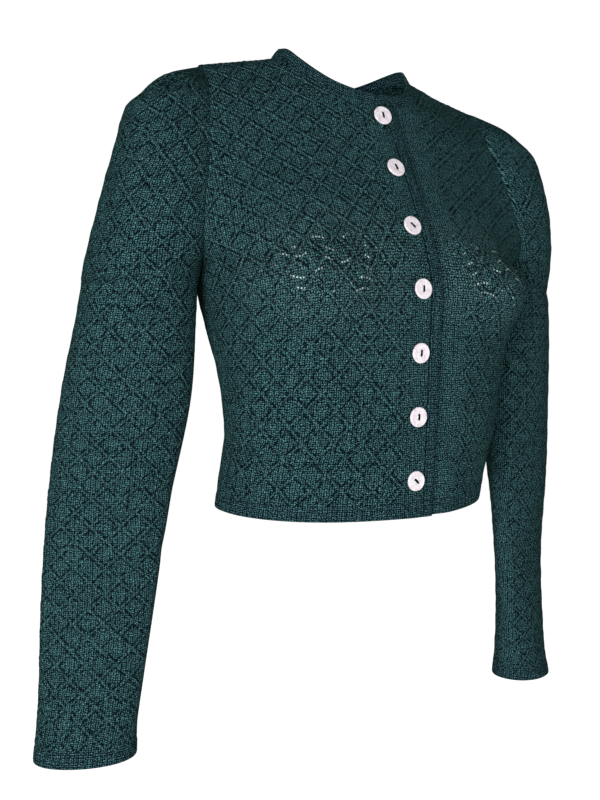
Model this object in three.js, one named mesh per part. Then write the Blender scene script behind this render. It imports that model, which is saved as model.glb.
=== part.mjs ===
/**
 * Women's fine-gauge wool cardigan, buttoned up and holding the shape of its wearer.
 *
 * Millimetres. +Z is up, the front faces -Y, and the wearer's left is +X. The origin
 * lies at the middle of the neck opening, level with the tops of the shoulders.
 *
 * Every cloth piece is a thin closed wall. Its outer face is a net of rows of stitches:
 * the rows lie half a lozenge apart, and so do the points along a row, so the raised
 * travelling stitches of the lozenge pattern run along the net's diagonals.
 */
import * as THREE from 'three';
import * as BufferGeometryUtils from 'three/addons/utils/BufferGeometryUtils.js';

// ---------------------------------------------------------------- driving sizes

const WALL = 2; // knitted wall
const SEAM_GAP = 0.4; // between two pieces that are sewn together
const HALF_LOZENGE = 13.5; // half the width and half the height of a lozenge
const STITCH_RELIEF = 0.8; // how far the travelling stitches stand proud
const EDGE_MARGIN = 0.4 * HALF_LOZENGE; // least distance from an inner point to a seam

const HEM_SEAM_LEVEL = 0.036; // level where the hem band is sewn on
const UNDERARM_LEVEL = 0.6;
const NECK_LEVEL = 0.886; // level of the centre front under the neckband
const ROWS_TO_UNDERARM = 16;
const ROWS_TO_NECK = 10; // from the underarm to the centre front of the neckline
const ROWS_TO_SHOULDER = 6; // beside the neckline

const LAP = 23; // how far each front reaches past the line of buttons
const FRONT_BAND = 12; // width of the border along each front edge
const UNDERLAP_DEPTH = 4.4; // how far the lower front lies behind the upper one
const UNDERLAP_FROM = 24; // the lower front starts to sink here
const UNDERLAP_TO = 52; // and is level with the upper front again here

const CUFF_EDGE_Z = -636;
const CUFF_BAND = 13.5;
const UNDERARM_RING_Z = -197;
const SLEEVE_ROWS = 34;
const SLEEVE_SQUARENESS = 2.1; // 2 is an ellipse, more is squarer
const SLEEVE_LEAN_REACH = 70; // the sleeve follows the trunk's lean this far out

const NECKBAND_RISE = 10.5;
const NECKBAND_LEAN = 0.09; // share of the radius that the band leans inwards
const NECK_CENTRE_Y = -2;

const BUTTON_LINE_WIDTH = 55; // this much of the front stays upright with the buttons
const BUTTON_LINE_DEPTH = { from: 20, to: 60 }; // and only this far in front of the middle
const SHOULDER_TILT = 0.03; // the wearer's left shoulder hangs lower
const TILT = { none: -250, full: -120 }; // heights between which the tilt sets in
const SLEEVE_TILT_SHARE = 0.6; // how much of that tilt the forearms keep
const FOREARM = { top: -260, full: -420 }; // heights between which it sets in
const UPPER_SLEEVE = { none: -300, full: -215 }; // where the sleeve takes the trunk's lean
const SLEEVE_TOP = { none: -175, full: -90 }; // where all of the sleeve sways
const ROW_PULL_Z = 0.3; // how steeply a row of the trunk leaves both its ends
const BUST = { x: 103, z: -202, halfWidth: 78, halfHeight: 66, depth: 20, fadeFrom: 0.75 };
const BUST_DIRECTION = { x: 0.45, y: -0.89 }; // outwards and forwards

const BUTTON_RADIUS = 9.2;
const BUTTON_THICKNESS = 2.4;
const BUTTON_SEAT = 0.7; // from the cloth to the back of the button
const BUTTON_BEVEL = 0.5;
const BUTTON_HOLE_RADIUS = 1;
const BUTTON_HOLE_OFFSET = 2;

// ---------------------------------------------------------------- section tables
// A level runs from 0 at the hem edge over 0.6 at the underarm to 1 at the shoulder seam.

/** Centre line of the front, and the neckline above it, with how full each row is. */
const FRONT_CENTRE = table(
  ['level', 'x', 'y', 'z', 'innerReach', 'outerReach', 'straight'],
  [
    [0.0, 0, -126, -416, 0.62, 0.6, 0],
    [0.1, 0, -127, -376, 0.62, 0.6, 0],
    [0.2, 0, -129, -336, 0.62, 0.6, 0],
    [0.33, 0, -132, -281, 0.66, 0.62, 0],
    [0.43, 0, -134, -240, 0.72, 0.64, 0],
    [0.51, 0, -135, -205, 0.74, 0.66, 0],
    [0.6, 0, -120, -156, 0.62, 0.68, 0],
    [0.7, 0, -99, -111, 0.58, 0.5, 0.25],
    [0.8, 0, -80, -70, 0.52, 0.45, 0.55],
    [0.886, 0, -68, -36, 0.45, 0.4, 0.8],
    [0.905, 24, -65, -33, 0.43, 0.38, 0.86],
    [0.924, 43, -55, -26, 0.41, 0.37, 0.9],
    [0.943, 57, -42, -15.5, 0.39, 0.36, 0.94],
    [0.962, 67, -27, -3.5, 0.37, 0.35, 0.97],
    [0.981, 73, -12, 7, 0.35, 0.34, 0.99],
    [1.0, 75, 4, 10.5, 0.33, 0.33, 1],
  ],
);

/** Centre line of the back, and the back neckline above it. */
const BACK_CENTRE = table(
  ['level', 'x', 'y', 'z', 'innerReach', 'outerReach', 'straight'],
  [
    [0.0, 0, 51, -410, 0.64, 0.6, 0],
    [0.1, 0, 43, -373, 0.64, 0.6, 0],
    [0.2, 0, 41, -335, 0.64, 0.6, 0],
    [0.33, 0, 52, -281, 0.64, 0.6, 0],
    [0.43, 0, 66, -240, 0.64, 0.6, 0],
    [0.51, 0, 78, -205, 0.64, 0.6, 0],
    [0.6, 0, 90, -156, 0.66, 0.6, 0],
    [0.7, 0, 95, -112, 0.62, 0.5, 0.25],
    [0.8, 0, 90, -68, 0.52, 0.45, 0.55],
    [0.886, 0, 76, -22, 0.45, 0.4, 0.8],
    [0.905, 0, 66, -8, 0.43, 0.38, 0.86],
    [0.924, 26, 63, -6, 0.41, 0.37, 0.9],
    [0.943, 46, 53, -1, 0.39, 0.36, 0.94],
    [0.962, 61, 39, 4.5, 0.37, 0.35, 0.97],
    [0.981, 71, 22, 9, 0.35, 0.34, 0.99],
    [1.0, 75, 4, 10.5, 0.33, 0.33, 1],
  ],
);

/** Side seam, from the hem edge to the underarm. */
const SIDE_SEAM = table(
  ['level', 'x', 'y', 'z'],
  [
    [0.0, 138, -39, -410],
    [0.1, 140, -43, -373],
    [0.2, 143, -45, -335],
    [0.33, 149, -39, -283],
    [0.43, 156, -32, -248],
    [0.51, 160, -23, -222],
    [0.6, 163, -8, -195],
  ],
);

/** Front half of the armhole, from the underarm to the shoulder seam. */
const FRONT_ARMHOLE = table(
  ['level', 'x', 'y', 'z'],
  [
    [0.6, 163, -8, -195],
    [0.64, 173, -44, -181],
    [0.7, 179, -62, -157],
    [0.8, 173, -57, -113],
    [0.88, 166, -43, -74],
    [0.94, 160, -26, -39],
    [1.0, 155, -4, -10],
  ],
);

/** Back half of the armhole. */
const BACK_ARMHOLE = table(
  ['level', 'x', 'y', 'z'],
  [
    [0.6, 163, -8, -195],
    [0.7, 160, 22, -155],
    [0.8, 158, 30, -113],
    [0.88, 157, 27, -74],
    [0.94, 156, 14, -39],
    [1.0, 155, -4, -10],
  ],
);

/** Outermost line of the sleeve head, and how far it bulges to the front and back. */
const SLEEVE_HEAD = table(
  ['level', 'x', 'y', 'z', 'frontY', 'backY', 'flare'],
  [
    [0.6, 259.5, 3, -203, -68, 56, 0.1],
    [0.7, 252, -2, -160, -71, 47, 0.2],
    [0.8, 245, -8, -116, -65, 44, 0.28],
    [0.886, 238, -12, -81, -54, 37, 0.3],
    [0.924, 234, -12, -65, -48, 32, 0.32],
    [0.943, 229, -11, -55, -46, 29, 0.33],
    [0.962, 219, -10, -46, -39, 22, 0.34],
    [0.981, 197, -8, -26, -21, 14, 0.45],
    [1.0, 155, -4, -10, -4, -4, 0.3],
  ],
);

/**
 * Flattened rings of the sleeve below the underarm. The turn is in degrees, and the rise
 * is how much higher a ring lies towards the trunk, as a share of the way across.
 */
const SLEEVE = table(
  ['z', 'x', 'y', 'halfWidth', 'halfDepth', 'turn', 'rise'],
  [
    [-636, 261, 13, 46, 30, 30, 0.07],
    [-600, 259, 15, 45.5, 25, 30, 0.05],
    [-500, 251, 12, 51, 20, 28, 0.03],
    [-400, 241, 4, 54.5, 27, 27, 0],
    [-300, 225, -2, 57, 36, 22, 0],
    [-215, 214.5, -4, 48, 46, 12, 0],
    [-197, 213.5, -3, 47, 46, 8, 0],
  ],
);

/** How far the outer side of both sleeves lies towards the wearer's left. */
const SLEEVE_SWAY = table(
  ['z', 'x'],
  [
    [-636, -3],
    [-560, 0],
    [-400, 0],
    [-300, -1],
    [-210, -3.5],
    [-175, -2.5],
    [-90, 5],
    [20, 5],
  ],
);

/** How far the trunk leans to the wearer's left at each height. */
const LEAN = table(
  ['z', 'x'],
  [
    [-416, -12],
    [-376, -7],
    [-336, 0],
    [-240, 3],
    [-205, 4],
    [-150, 2],
    [20, 0],
  ],
);

/** Soft troughs in the cloth of the trunk, each along a line from a to b. */
const TRUNK_FOLDS = table(
  ['ax', 'ay', 'az', 'bx', 'by', 'bz', 'width', 'depth'],
  [
    [-150, -60, -118, -122, -105, -172, 13, 3.4],
    [146, -62, -122, 118, -108, -178, 13, 2.8],
    [-152, -55, -196, -120, -112, -236, 12, 2.2],
    [-146, 30, -120, -118, 74, -176, 15, 3.2],
    [148, 28, -116, 112, 78, -168, 15, 3.6],
    [-70, 60, -318, 40, 56, -306, 13, 2.6],
    [96, 40, -338, 20, 50, -346, 12, 2.2],
  ],
);

/** Soft troughs in the wearer's left sleeve; the right sleeve takes them mirrored. */
const SLEEVE_FOLDS = table(
  ['ax', 'ay', 'az', 'bx', 'by', 'bz', 'width', 'depth'],
  [
    [186, -34, -206, 214, -52, -238, 13, 3],
    [196, -40, -392, 232, -30, -412, 13, 3],
    [206, -24, -446, 240, -16, -470, 12, 2.2],
    [262, 34, -250, 236, 38, -296, 14, 2.6],
  ],
);

/** Height of each button's middle, and how far it is turned, in degrees. */
const BUTTONS = table(
  ['z', 'turn'],
  [
    [-47.4, 0],
    [-98.4, 14],
    [-153.4, 42],
    [-210, -4],
    [-266.5, -3],
    [-323.7, 0],
    [-381.7, 48],
  ],
);

// ---------------------------------------------------------------- table reading

/** Names the columns of a table; the first column is the one it is read by. */
function table(columns, rows) {
  return { columns, rows };
}

/** One named object for each row. */
function namedRows({ columns, rows }) {
  return rows.map((row) => Object.fromEntries(columns.map((name, i) => [name, row[i]])));
}

/** Slope of every column at one row, from its two neighbours. */
function slopes(rows, index) {
  const before = rows[Math.max(index - 1, 0)];
  const after = rows[Math.min(index + 1, rows.length - 1)];
  return after.map((value, column) => (value - before[column]) / (after[0] - before[0]));
}

/** Every column of a table, read smoothly at one value of the first column. */
function readTable({ columns, rows }, at) {
  const last = rows.length - 1;
  const value = THREE.MathUtils.clamp(at, rows[0][0], rows[last][0]);
  const found = rows.findIndex((row) => row[0] > value);
  const index = found < 0 ? last - 1 : found - 1;
  const span = rows[index + 1][0] - rows[index][0];
  const u = (value - rows[index][0]) / span;
  const startSlope = slopes(rows, index);
  const endSlope = slopes(rows, index + 1);
  const weights = [
    2 * u ** 3 - 3 * u ** 2 + 1,
    (u ** 3 - 2 * u ** 2 + u) * span,
    3 * u ** 2 - 2 * u ** 3,
    (u ** 3 - u ** 2) * span,
  ];
  const blend = (column) =>
    weights[0] * rows[index][column] +
    weights[1] * startSlope[column] +
    weights[2] * rows[index + 1][column] +
    weights[3] * endSlope[column];
  return Object.fromEntries(columns.map((name, column) => [name, blend(column)]));
}

/** The x, y and z columns of a table row as a point. */
function pointOf({ x, y, z }) {
  return new THREE.Vector3(x, y, z);
}

// ---------------------------------------------------------------- lie of the cloth

/** Moves a point towards an axis where it lies on one of the soft troughs. */
function fold(point, axis, folds, side) {
  const inward = new THREE.Vector3(axis.x - point.x, axis.y - point.y, 0).normalize();
  const nearest = new THREE.Vector3();
  let depth = 0;
  for (const row of folds) {
    const start = new THREE.Vector3(row.ax * side, row.ay, row.az);
    const end = new THREE.Vector3(row.bx * side, row.by, row.bz);
    new THREE.Line3(start, end).closestPointToPoint(point, true, nearest);
    depth += row.depth * Math.exp(-((nearest.distanceTo(point) / row.width) ** 2));
  }
  return point.addScaledVector(inward, depth);
}

/** How much of the shoulders' tilt reaches a height. */
function tiltShare(z) {
  return THREE.MathUtils.smoothstep(z, TILT.none, TILT.full);
}

const trunkFolds = namedRows(TRUNK_FOLDS);
const sleeveFolds = namedRows(SLEEVE_FOLDS);
const TRUNK_AXIS = { x: 0, y: -20 };

/** How much a point of the trunk leans; the button line stays upright. */
function leanShare(point) {
  const nearButtons = Math.exp(-((point.x / BUTTON_LINE_WIDTH) ** 2));
  const { from, to } = BUTTON_LINE_DEPTH;
  return 1 - nearButtons * THREE.MathUtils.smoothstep(-point.y, from, to);
}

/** Gives a point of the even trunk its fold, lean and tilt. */
function settleTrunk(point) {
  const settled = fold(point.clone(), TRUNK_AXIS, trunkFolds, 1);
  settled.x += readTable(LEAN, point.z).x * leanShare(point);
  settled.z -= SHOULDER_TILT * point.x * tiltShare(point.z);
  return settled;
}

// ---------------------------------------------------------------- trunk surface

/** The bust: how far a point of the front swells outwards. */
function bustSwell(point, fraction) {
  const across = (point.x - BUST.x) / BUST.halfWidth;
  const upward = (point.z - BUST.z) / BUST.halfHeight;
  const dome = Math.cos((Math.PI / 2) * Math.min(Math.hypot(across, upward), 1));
  const fade = 1 - THREE.MathUtils.smoothstep(fraction, BUST.fadeFrom, 1);
  return BUST.depth * fade * dome ** 2;
}

/** One face of the trunk: the front or the back half, drawn for the wearer's left. */
class TrunkFace {
  constructor(centre, armhole, hasBust) {
    this.centre = centre;
    this.armhole = armhole;
    this.hasBust = hasBust;
    this.rowCache = new Map();
  }

  /** Curve from the centre line or neckline out to the side seam or armhole. */
  row(level) {
    if (this.rowCache.has(level)) return this.rowCache.get(level);
    const centre = readTable(this.centre, level);
    const side = readTable(level > UNDERARM_LEVEL ? this.armhole : SIDE_SEAM, level);
    const inner = pointOf(centre);
    const outer = pointOf(side);
    const chord = outer.clone().sub(inner);
    const startPull = new THREE.Vector3(chord.x, 0, ROW_PULL_Z * chord.z);
    const endPull = new THREE.Vector3(0, -chord.y, -ROW_PULL_Z * chord.z);
    startPull.lerp(chord, centre.straight).multiplyScalar(centre.innerReach);
    endPull.lerp(chord.clone().negate(), centre.straight).multiplyScalar(centre.outerReach);
    const curve = new THREE.CubicBezierCurve3(
      inner,
      inner.clone().add(startPull),
      outer.clone().add(endPull),
      outer,
    );
    const row = { curve, start: centre.x, length: curve.getLength() };
    this.rowCache.set(level, row);
    return row;
  }

  /** Distance from the centre line to the end of a row. */
  reach(level) {
    const { start, length } = this.row(level);
    return start + length;
  }

  /** Point at a distance from the centre line; below 0 it is past that line. */
  point(level, distance, side) {
    const { curve, start, length } = this.row(level);
    const along = Math.abs(distance - start) / length;
    const fraction = Math.min(along, 1);
    const point = curve.getPointAt(fraction);
    if (this.hasBust) {
      const swell = bustSwell(point, fraction);
      point.x += BUST_DIRECTION.x * swell;
      point.y += BUST_DIRECTION.y * swell;
    }
    const past = distance < start ? -1 : 1;
    point.x *= side * past;
    return settleTrunk(point);
  }
}

const frontFace = new TrunkFace(FRONT_CENTRE, FRONT_ARMHOLE, true);
const backFace = new TrunkFace(BACK_CENTRE, BACK_ARMHOLE, false);

/** How far the lower front is pushed in behind the upper one. */
function underlapPush(distance) {
  return UNDERLAP_DEPTH * (1 - THREE.MathUtils.smoothstep(distance, UNDERLAP_FROM, UNDERLAP_TO));
}

/** A point of one front; the wearer's left front lies under the right one. */
function frontPoint(level, distance, side) {
  const point = frontFace.point(level, distance, side);
  if (side > 0) point.y += underlapPush(distance);
  return point;
}

/** Where a front's lap meets the neckband: on the other half's neckline, mirrored. */
function lapNeckPoint(distance, side) {
  const share = -distance / frontFace.row(TRUNK_LEVELS[NECK_ROW + 1]).start;
  const level = THREE.MathUtils.lerp(NECK_LEVEL, TRUNK_LEVELS[NECK_ROW + 1], share);
  const point = frontFace.point(level, frontFace.row(level).start, -side);
  if (side > 0) point.y += UNDERLAP_DEPTH;
  return point;
}

/** A point of the lap's own seams, which end at the neckband. */
function lapPoint(rowNumber, distance, side) {
  if (rowNumber === NECK_ROW) return lapNeckPoint(distance, side);
  const level = rowNumber < 0 ? 0 : TRUNK_LEVELS[rowNumber];
  return frontPoint(level, distance, side);
}

// ---------------------------------------------------------------- sleeve surface

/** A flattened ring of the sleeve, from the underarm over front, outside and back. */
class SleeveRing extends THREE.Curve {
  constructor(z) {
    super();
    this.z = z;
    this.ring = readTable(SLEEVE, z);
  }

  getPoint(fraction, target = new THREE.Vector3()) {
    const angle = fraction * 2 * Math.PI;
    const squash = (value) => Math.sign(value) * Math.abs(value) ** (2 / SLEEVE_SQUARENESS);
    const across = -this.ring.halfWidth * squash(Math.cos(angle));
    const forward = this.ring.halfDepth * squash(Math.sin(angle));
    const turn = THREE.MathUtils.degToRad(this.ring.turn);
    return target.set(
      this.ring.x + across * Math.cos(turn) + forward * Math.sin(turn),
      this.ring.y + across * Math.sin(turn) - forward * Math.cos(turn),
      this.z - across * this.ring.rise,
    );
  }
}

/** Row of the sleeve head, from the front of the armhole round to its back. */
function headRow(level) {
  const head = readTable(SLEEVE_HEAD, level);
  const outer = pointOf(head);
  const halfRow = (seamPoint, bulgeY) =>
    new THREE.CubicBezierCurve3(
      seamPoint,
      new THREE.Vector3(
        THREE.MathUtils.lerp(seamPoint.x, outer.x, head.flare),
        bulgeY,
        THREE.MathUtils.lerp(seamPoint.z, outer.z, head.flare),
      ),
      new THREE.Vector3(outer.x, bulgeY, outer.z),
      outer,
    );
  const front = halfRow(pointOf(readTable(FRONT_ARMHOLE, level)), head.frontY);
  const back = halfRow(pointOf(readTable(BACK_ARMHOLE, level)), head.backY);
  return { front, back };
}

/** Gives a point of the even sleeve its folds, shift and tilt on one side. */
function settleSleeve(point, side) {
  const axis = readTable(SLEEVE, point.z);
  const settled = fold(point.clone(), axis, sleeveFolds, 1);
  const underarmX = SIDE_SEAM.rows.at(-1)[1];
  const inside = 1 - THREE.MathUtils.smoothstep(point.x - underarmX, 0, SLEEVE_LEAN_REACH);
  const upward = THREE.MathUtils.smoothstep(point.z, UPPER_SLEEVE.none, UPPER_SLEEVE.full);
  const lean = readTable(LEAN, point.z).x * inside * upward;
  const atHead = THREE.MathUtils.smoothstep(point.z, SLEEVE_TOP.none, SLEEVE_TOP.full);
  const sway = readTable(SLEEVE_SWAY, point.z).x * THREE.MathUtils.lerp(1 - inside, 1, atHead);
  settled.x = side * settled.x + lean + sway;
  const hang = SLEEVE_TILT_SHARE * THREE.MathUtils.smoothstep(-point.z, -FOREARM.top, -FOREARM.full);
  settled.z -= SHOULDER_TILT * side * point.x * (tiltShare(point.z) + hang);
  return settled;
}

// ---------------------------------------------------------------- nets of stitches

/**
 * A knot of a net: its place, whether a travelling stitch lifts it, whether the inner
 * face has it too, and its distance along the row.
 */
function knot(point, distance, lifted, onInnerFace) {
  return { point, distance, lifted, onInnerFace };
}

/** The whole lozenge halves that fit between the two ends of a row. */
function knotNumbers(from, to) {
  const first = Math.ceil((from + EDGE_MARGIN) / HALF_LOZENGE);
  const last = Math.floor((to - EDGE_MARGIN) / HALF_LOZENGE);
  const numbers = [];
  for (let number = first; number <= last; number += 1) numbers.push(number);
  return numbers;
}

/** A row of knots from one seam to another. */
function knotRow({ from, to, rowNumber, trunkRow, pointAt, liftedAt, everyOther }) {
  const numbers = knotNumbers(from, to);
  const inside = numbers.map((number) => {
    const distance = number * HALF_LOZENGE;
    const crossing = (number + rowNumber) % 2 === 0;
    const lifted = crossing && liftedAt(distance);
    return knot(pointAt(distance), distance, lifted, !everyOther || number % 2 === 0);
  });
  const start = knot(pointAt(from), from, false, true);
  const end = knot(pointAt(to), to, false, true);
  return { knots: [start, ...inside, end], onInnerFace: rowOnInnerFace(trunkRow ?? rowNumber) };
}

/** The inner face keeps every other row, and near the neckline every row. */
function rowOnInnerFace(rowNumber) {
  return rowNumber % 2 === 0 || rowNumber >= NECK_ROW;
}

/** True where four knots are the corners of one cell of the lozenge grid. */
function squareCell(lower, upper, i, j) {
  if (!lower[i + 1] || !upper[j + 1]) return false;
  const near = (a, b) => Math.abs(a.distance - b.distance) < HALF_LOZENGE / 4;
  return near(lower[i], upper[j]) && near(lower[i + 1], upper[j + 1]);
}

/** Triangles between two rows of knots; lifted knots are joined by the diagonals. */
function stitchRows(lower, upper) {
  const triangles = [];
  let i = 0;
  let j = 0;
  while (i < lower.length - 1 || j < upper.length - 1) {
    let alongLower = j === upper.length - 1;
    if (i < lower.length - 1 && j < upper.length - 1) {
      alongLower = lower[i + 1].distance <= upper[j + 1].distance;
      if (squareCell(lower, upper, i, j)) {
        if (lower[i + 1].lifted && upper[j].lifted) alongLower = true;
        if (lower[i].lifted && upper[j + 1].lifted) alongLower = false;
      }
    }
    if (alongLower) {
      triangles.push([lower[i], lower[i + 1], upper[j]]);
      i += 1;
    } else {
      triangles.push([lower[i], upper[j + 1], upper[j]]);
      j += 1;
    }
  }
  return triangles;
}

/** Triangles of a whole net, turned so that they face outwards. */
function netTriangles(rows, facing) {
  const triangles = [];
  for (let r = 0; r < rows.length - 1; r += 1) {
    triangles.push(...stitchRows(rows[r].knots, rows[r + 1].knots));
  }
  const turned = facing > 0 ? triangles : triangles.map(([a, b, c]) => [a, c, b]);
  return turned.filter(([a, b, c]) => new Set([place(a), place(b), place(c)]).size === 3);
}

/** Rows and knots that the coarser inner face keeps. */
function innerRows(rows) {
  const kept = rows.filter((row, r) => row.onInnerFace || r === 0 || r === rows.length - 1);
  return kept.map((row) => ({ knots: row.knots.filter((one) => one.onInnerFace) }));
}

/** Name of a knot's place, the same for every piece that has a knot there. */
function place({ point }) {
  return point.toArray().map((value) => Math.round(value * 1000)).join();
}

// ---------------------------------------------------------------- pieces of cloth

/** A piece of cloth: its name and its nets, before it has a wall. */
function clothPiece(name, nets) {
  const outer = nets.flatMap(({ rows, facing }) => netTriangles(rows, facing));
  const inner = nets.flatMap(({ rows, facing }) => netTriangles(innerRows(rows), facing));
  return { name, outer, inner };
}

/** Adds each triangle's normal, weighted by its angle there, to its corners' places. */
function addNormals(normals, triangles) {
  for (const corners of triangles) {
    corners.forEach((corner, k) => {
      const toNext = corners[(k + 1) % 3].point.clone().sub(corner.point);
      const toLast = corners[(k + 2) % 3].point.clone().sub(corner.point);
      const normal = toNext.clone().cross(toLast).normalize();
      const key = place(corner);
      if (!normals.has(key)) normals.set(key, new THREE.Vector3());
      normals.get(key).addScaledVector(normal, toNext.angleTo(toLast));
    });
  }
}

/** Edges of a net that belong to one triangle only, from place to place. */
function openEdges(triangles) {
  const edges = new Map();
  for (const corners of triangles) {
    for (let k = 0; k < 3; k += 1) {
      const start = place(corners[k]);
      const end = place(corners[(k + 1) % 3]);
      const reverse = `${end}>${start}`;
      if (edges.has(reverse)) edges.delete(reverse);
      else edges.set(`${start}>${end}`, { start, end });
    }
  }
  return [...edges.values()];
}

/** Open edges joined end to end into closed loops of places. */
function edgeLoops(triangles) {
  const next = new Map(openEdges(triangles).map(({ start, end }) => [start, end]));
  const loops = [];
  while (next.size > 0) {
    const loop = [];
    let at = next.keys().next().value;
    while (next.has(at)) {
      loop.push(at);
      const following = next.get(at);
      next.delete(at);
      at = following;
    }
    loops.push(loop);
  }
  return loops;
}

/** Direction in the cloth, square to an edge, that points away from that edge. */
function awayFromEdge(from, to, normal) {
  return normal.clone().cross(to.clone().sub(from)).normalize();
}

/** How far each knot on an open edge is drawn back to leave the seam gap. */
function seamShifts(loops, points, normals) {
  const shifts = new Map();
  for (const loop of loops) {
    loop.forEach((key, index) => {
      const before = points.get(loop[(index + loop.length - 1) % loop.length]);
      const after = points.get(loop[(index + 1) % loop.length]);
      const here = points.get(key);
      const first = awayFromEdge(before, here, normals.get(key));
      const second = awayFromEdge(here, after, normals.get(key));
      const spread = Math.max(1 + first.dot(second), 0.5);
      shifts.set(key, first.add(second).multiplyScalar(SEAM_GAP / 2 / spread));
    });
  }
  return shifts;
}

/** Faces of the wall's edge between the outer loop and the coarser inner loop. */
function rimFaces(loop, innerPlaces) {
  const start = loop.findIndex((key) => innerPlaces.has(key));
  const turned = [...loop.slice(start), ...loop.slice(0, start), loop[start]];
  const faces = [];
  let run = [turned[0]];
  for (const key of turned.slice(1)) {
    run.push(key);
    if (innerPlaces.has(key)) {
      const near = run[0];
      const far = key;
      const middle = Math.floor(run.length / 2);
      for (let k = 0; k < run.length - 1; k += 1) {
        const inner = k < middle ? near : far;
        faces.push([{ outer: run[k + 1] }, { outer: run[k] }, { inner }]);
      }
      faces.push([{ outer: run[middle] }, { inner: near }, { inner: far }]);
      run = [key];
    }
  }
  return faces;
}

/** The closed wall of a piece of cloth. */
function wallGeometry({ outer, inner }, normals) {
  const points = new Map();
  const lifts = new Map();
  for (const one of outer.flat()) {
    points.set(place(one), one.point);
    lifts.set(place(one), one.lifted ? STITCH_RELIEF : 0);
  }
  const loops = edgeLoops(outer);
  const shifts = seamShifts(loops, points, normals);
  const moved = (key, depth) => {
    const point = points.get(key).clone().addScaledVector(normals.get(key), depth);
    return shifts.has(key) ? point.add(shifts.get(key)) : point;
  };
  const outerPoint = (key) => moved(key, lifts.get(key));
  const innerPoint = (key) => moved(key, -WALL);
  const innerPlaces = new Set(inner.flat().map(place));
  const faces = [
    ...outer.map((corners) => corners.map((one) => outerPoint(place(one)))),
    ...inner.map(([a, b, c]) => [a, c, b].map((one) => innerPoint(place(one)))),
  ];
  for (const loop of loops) {
    for (const face of rimFaces(loop, innerPlaces)) {
      faces.push(face.map((end) => (end.outer ? outerPoint(end.outer) : innerPoint(end.inner))));
    }
  }
  return new THREE.BufferGeometry().setFromPoints(faces.flat());
}

// ---------------------------------------------------------------- levels and rows

/** Levels of the rows of the trunk from the hem seam to the shoulder seam. */
const TRUNK_LEVELS = [];
for (let row = 0; row <= ROWS_TO_UNDERARM; row += 1) {
  const share = row / ROWS_TO_UNDERARM;
  TRUNK_LEVELS.push(THREE.MathUtils.lerp(HEM_SEAM_LEVEL, UNDERARM_LEVEL, share));
}
for (let row = 1; row <= ROWS_TO_NECK; row += 1) {
  TRUNK_LEVELS.push(THREE.MathUtils.lerp(UNDERARM_LEVEL, NECK_LEVEL, row / ROWS_TO_NECK));
}
for (let row = 1; row <= ROWS_TO_SHOULDER; row += 1) {
  TRUNK_LEVELS.push(THREE.MathUtils.lerp(NECK_LEVEL, 1, row / ROWS_TO_SHOULDER));
}

const BAND_SEAM = FRONT_BAND - LAP; // distance of the border's seam past the centre
const NECK_ROW = ROWS_TO_UNDERARM + ROWS_TO_NECK;
const BACK_NECK_ROW = NECK_ROW + 1;

/** Where a row of one front starts: at the border below the neck, else at the neckline. */
function frontStart(rowNumber) {
  return rowNumber <= NECK_ROW ? BAND_SEAM : frontFace.row(TRUNK_LEVELS[rowNumber]).start;
}

/** One row of knots of a front; the upper front is plain where the buttons stand. */
function frontRow(level, rowNumber, from, side) {
  const plainTo = side > 0 ? UNDERLAP_TO : BUTTON_RADIUS;
  return knotRow({
    from,
    to: frontFace.reach(level),
    rowNumber,
    pointAt: (distance) =>
      distance === BAND_SEAM
        ? lapPoint(rowNumber, distance, side)
        : frontPoint(level, distance, side),
    liftedAt: (distance) => Math.abs(distance) > plainTo,
    everyOther: true,
  });
}

/** One row of knots of half the back. */
function backRow(level, rowNumber, side) {
  return knotRow({
    from: backFace.row(level).start,
    to: backFace.reach(level),
    rowNumber,
    pointAt: (distance) => backFace.point(level, distance, side),
    liftedAt: () => true,
    everyOther: true,
  });
}

/** A plain row of a band that hangs from the knots of another row. */
function hangingRow(row, pointAt) {
  const knots = row.knots.map((one) =>
    knot(pointAt(one), one.distance, false, one.onInnerFace),
  );
  return { knots, onInnerFace: true };
}

// ---------------------------------------------------------------- trunk pieces

/** Rows of one front between the hem seam and the shoulder seam. */
function frontRows(side) {
  return TRUNK_LEVELS.map((level, rowNumber) =>
    frontRow(level, rowNumber, frontStart(rowNumber), side),
  );
}

/** Rows of half the back. */
function backRows(side) {
  return TRUNK_LEVELS.map((level, rowNumber) => backRow(level, rowNumber, side));
}

/** A point on the hem edge under a knot of the hem seam. */
function hemPoint(face, one, side, pointAt) {
  const seam = face.reach(HEM_SEAM_LEVEL);
  const stretch = one.distance > 0 ? face.reach(0) / seam : 1;
  return pointAt(0, one.distance * stretch, side);
}

/** Border along one front edge, from the hem edge to the neck seam. */
function frontBandNet(side) {
  const rowNumbers = [-1, ...TRUNK_LEVELS.slice(0, NECK_ROW + 1).keys()];
  const rows = rowNumbers.map((rowNumber) => ({
    knots: [-LAP, BAND_SEAM].map((distance) =>
      knot(lapPoint(rowNumber, distance, side), distance, false, true),
    ),
    onInnerFace: rowOnInnerFace(rowNumber) || rowNumber < 0,
  }));
  return { rows, facing: side };
}

/** Hem band under one front. */
function frontHemNet(side) {
  const seam = frontRow(HEM_SEAM_LEVEL, 0, BAND_SEAM, side);
  const edge = hangingRow(seam, (one) => hemPoint(frontFace, one, side, frontPoint));
  return { rows: [edge, { ...seam, knots: plainKnots(seam.knots) }], facing: side };
}

/** Hem band under half the back. */
function backHemNet(side) {
  const seam = backRow(HEM_SEAM_LEVEL, 0, side);
  const pointAt = (level, distance) => backFace.point(level, distance, side);
  const edge = hangingRow(seam, (one) => hemPoint(backFace, one, side, pointAt));
  return { rows: [edge, { ...seam, knots: plainKnots(seam.knots) }], facing: -side };
}

/** The same knots without the lift of the travelling stitches. */
function plainKnots(knots) {
  return knots.map((one) => ({ ...one, lifted: false }));
}

// ---------------------------------------------------------------- neckband

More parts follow.
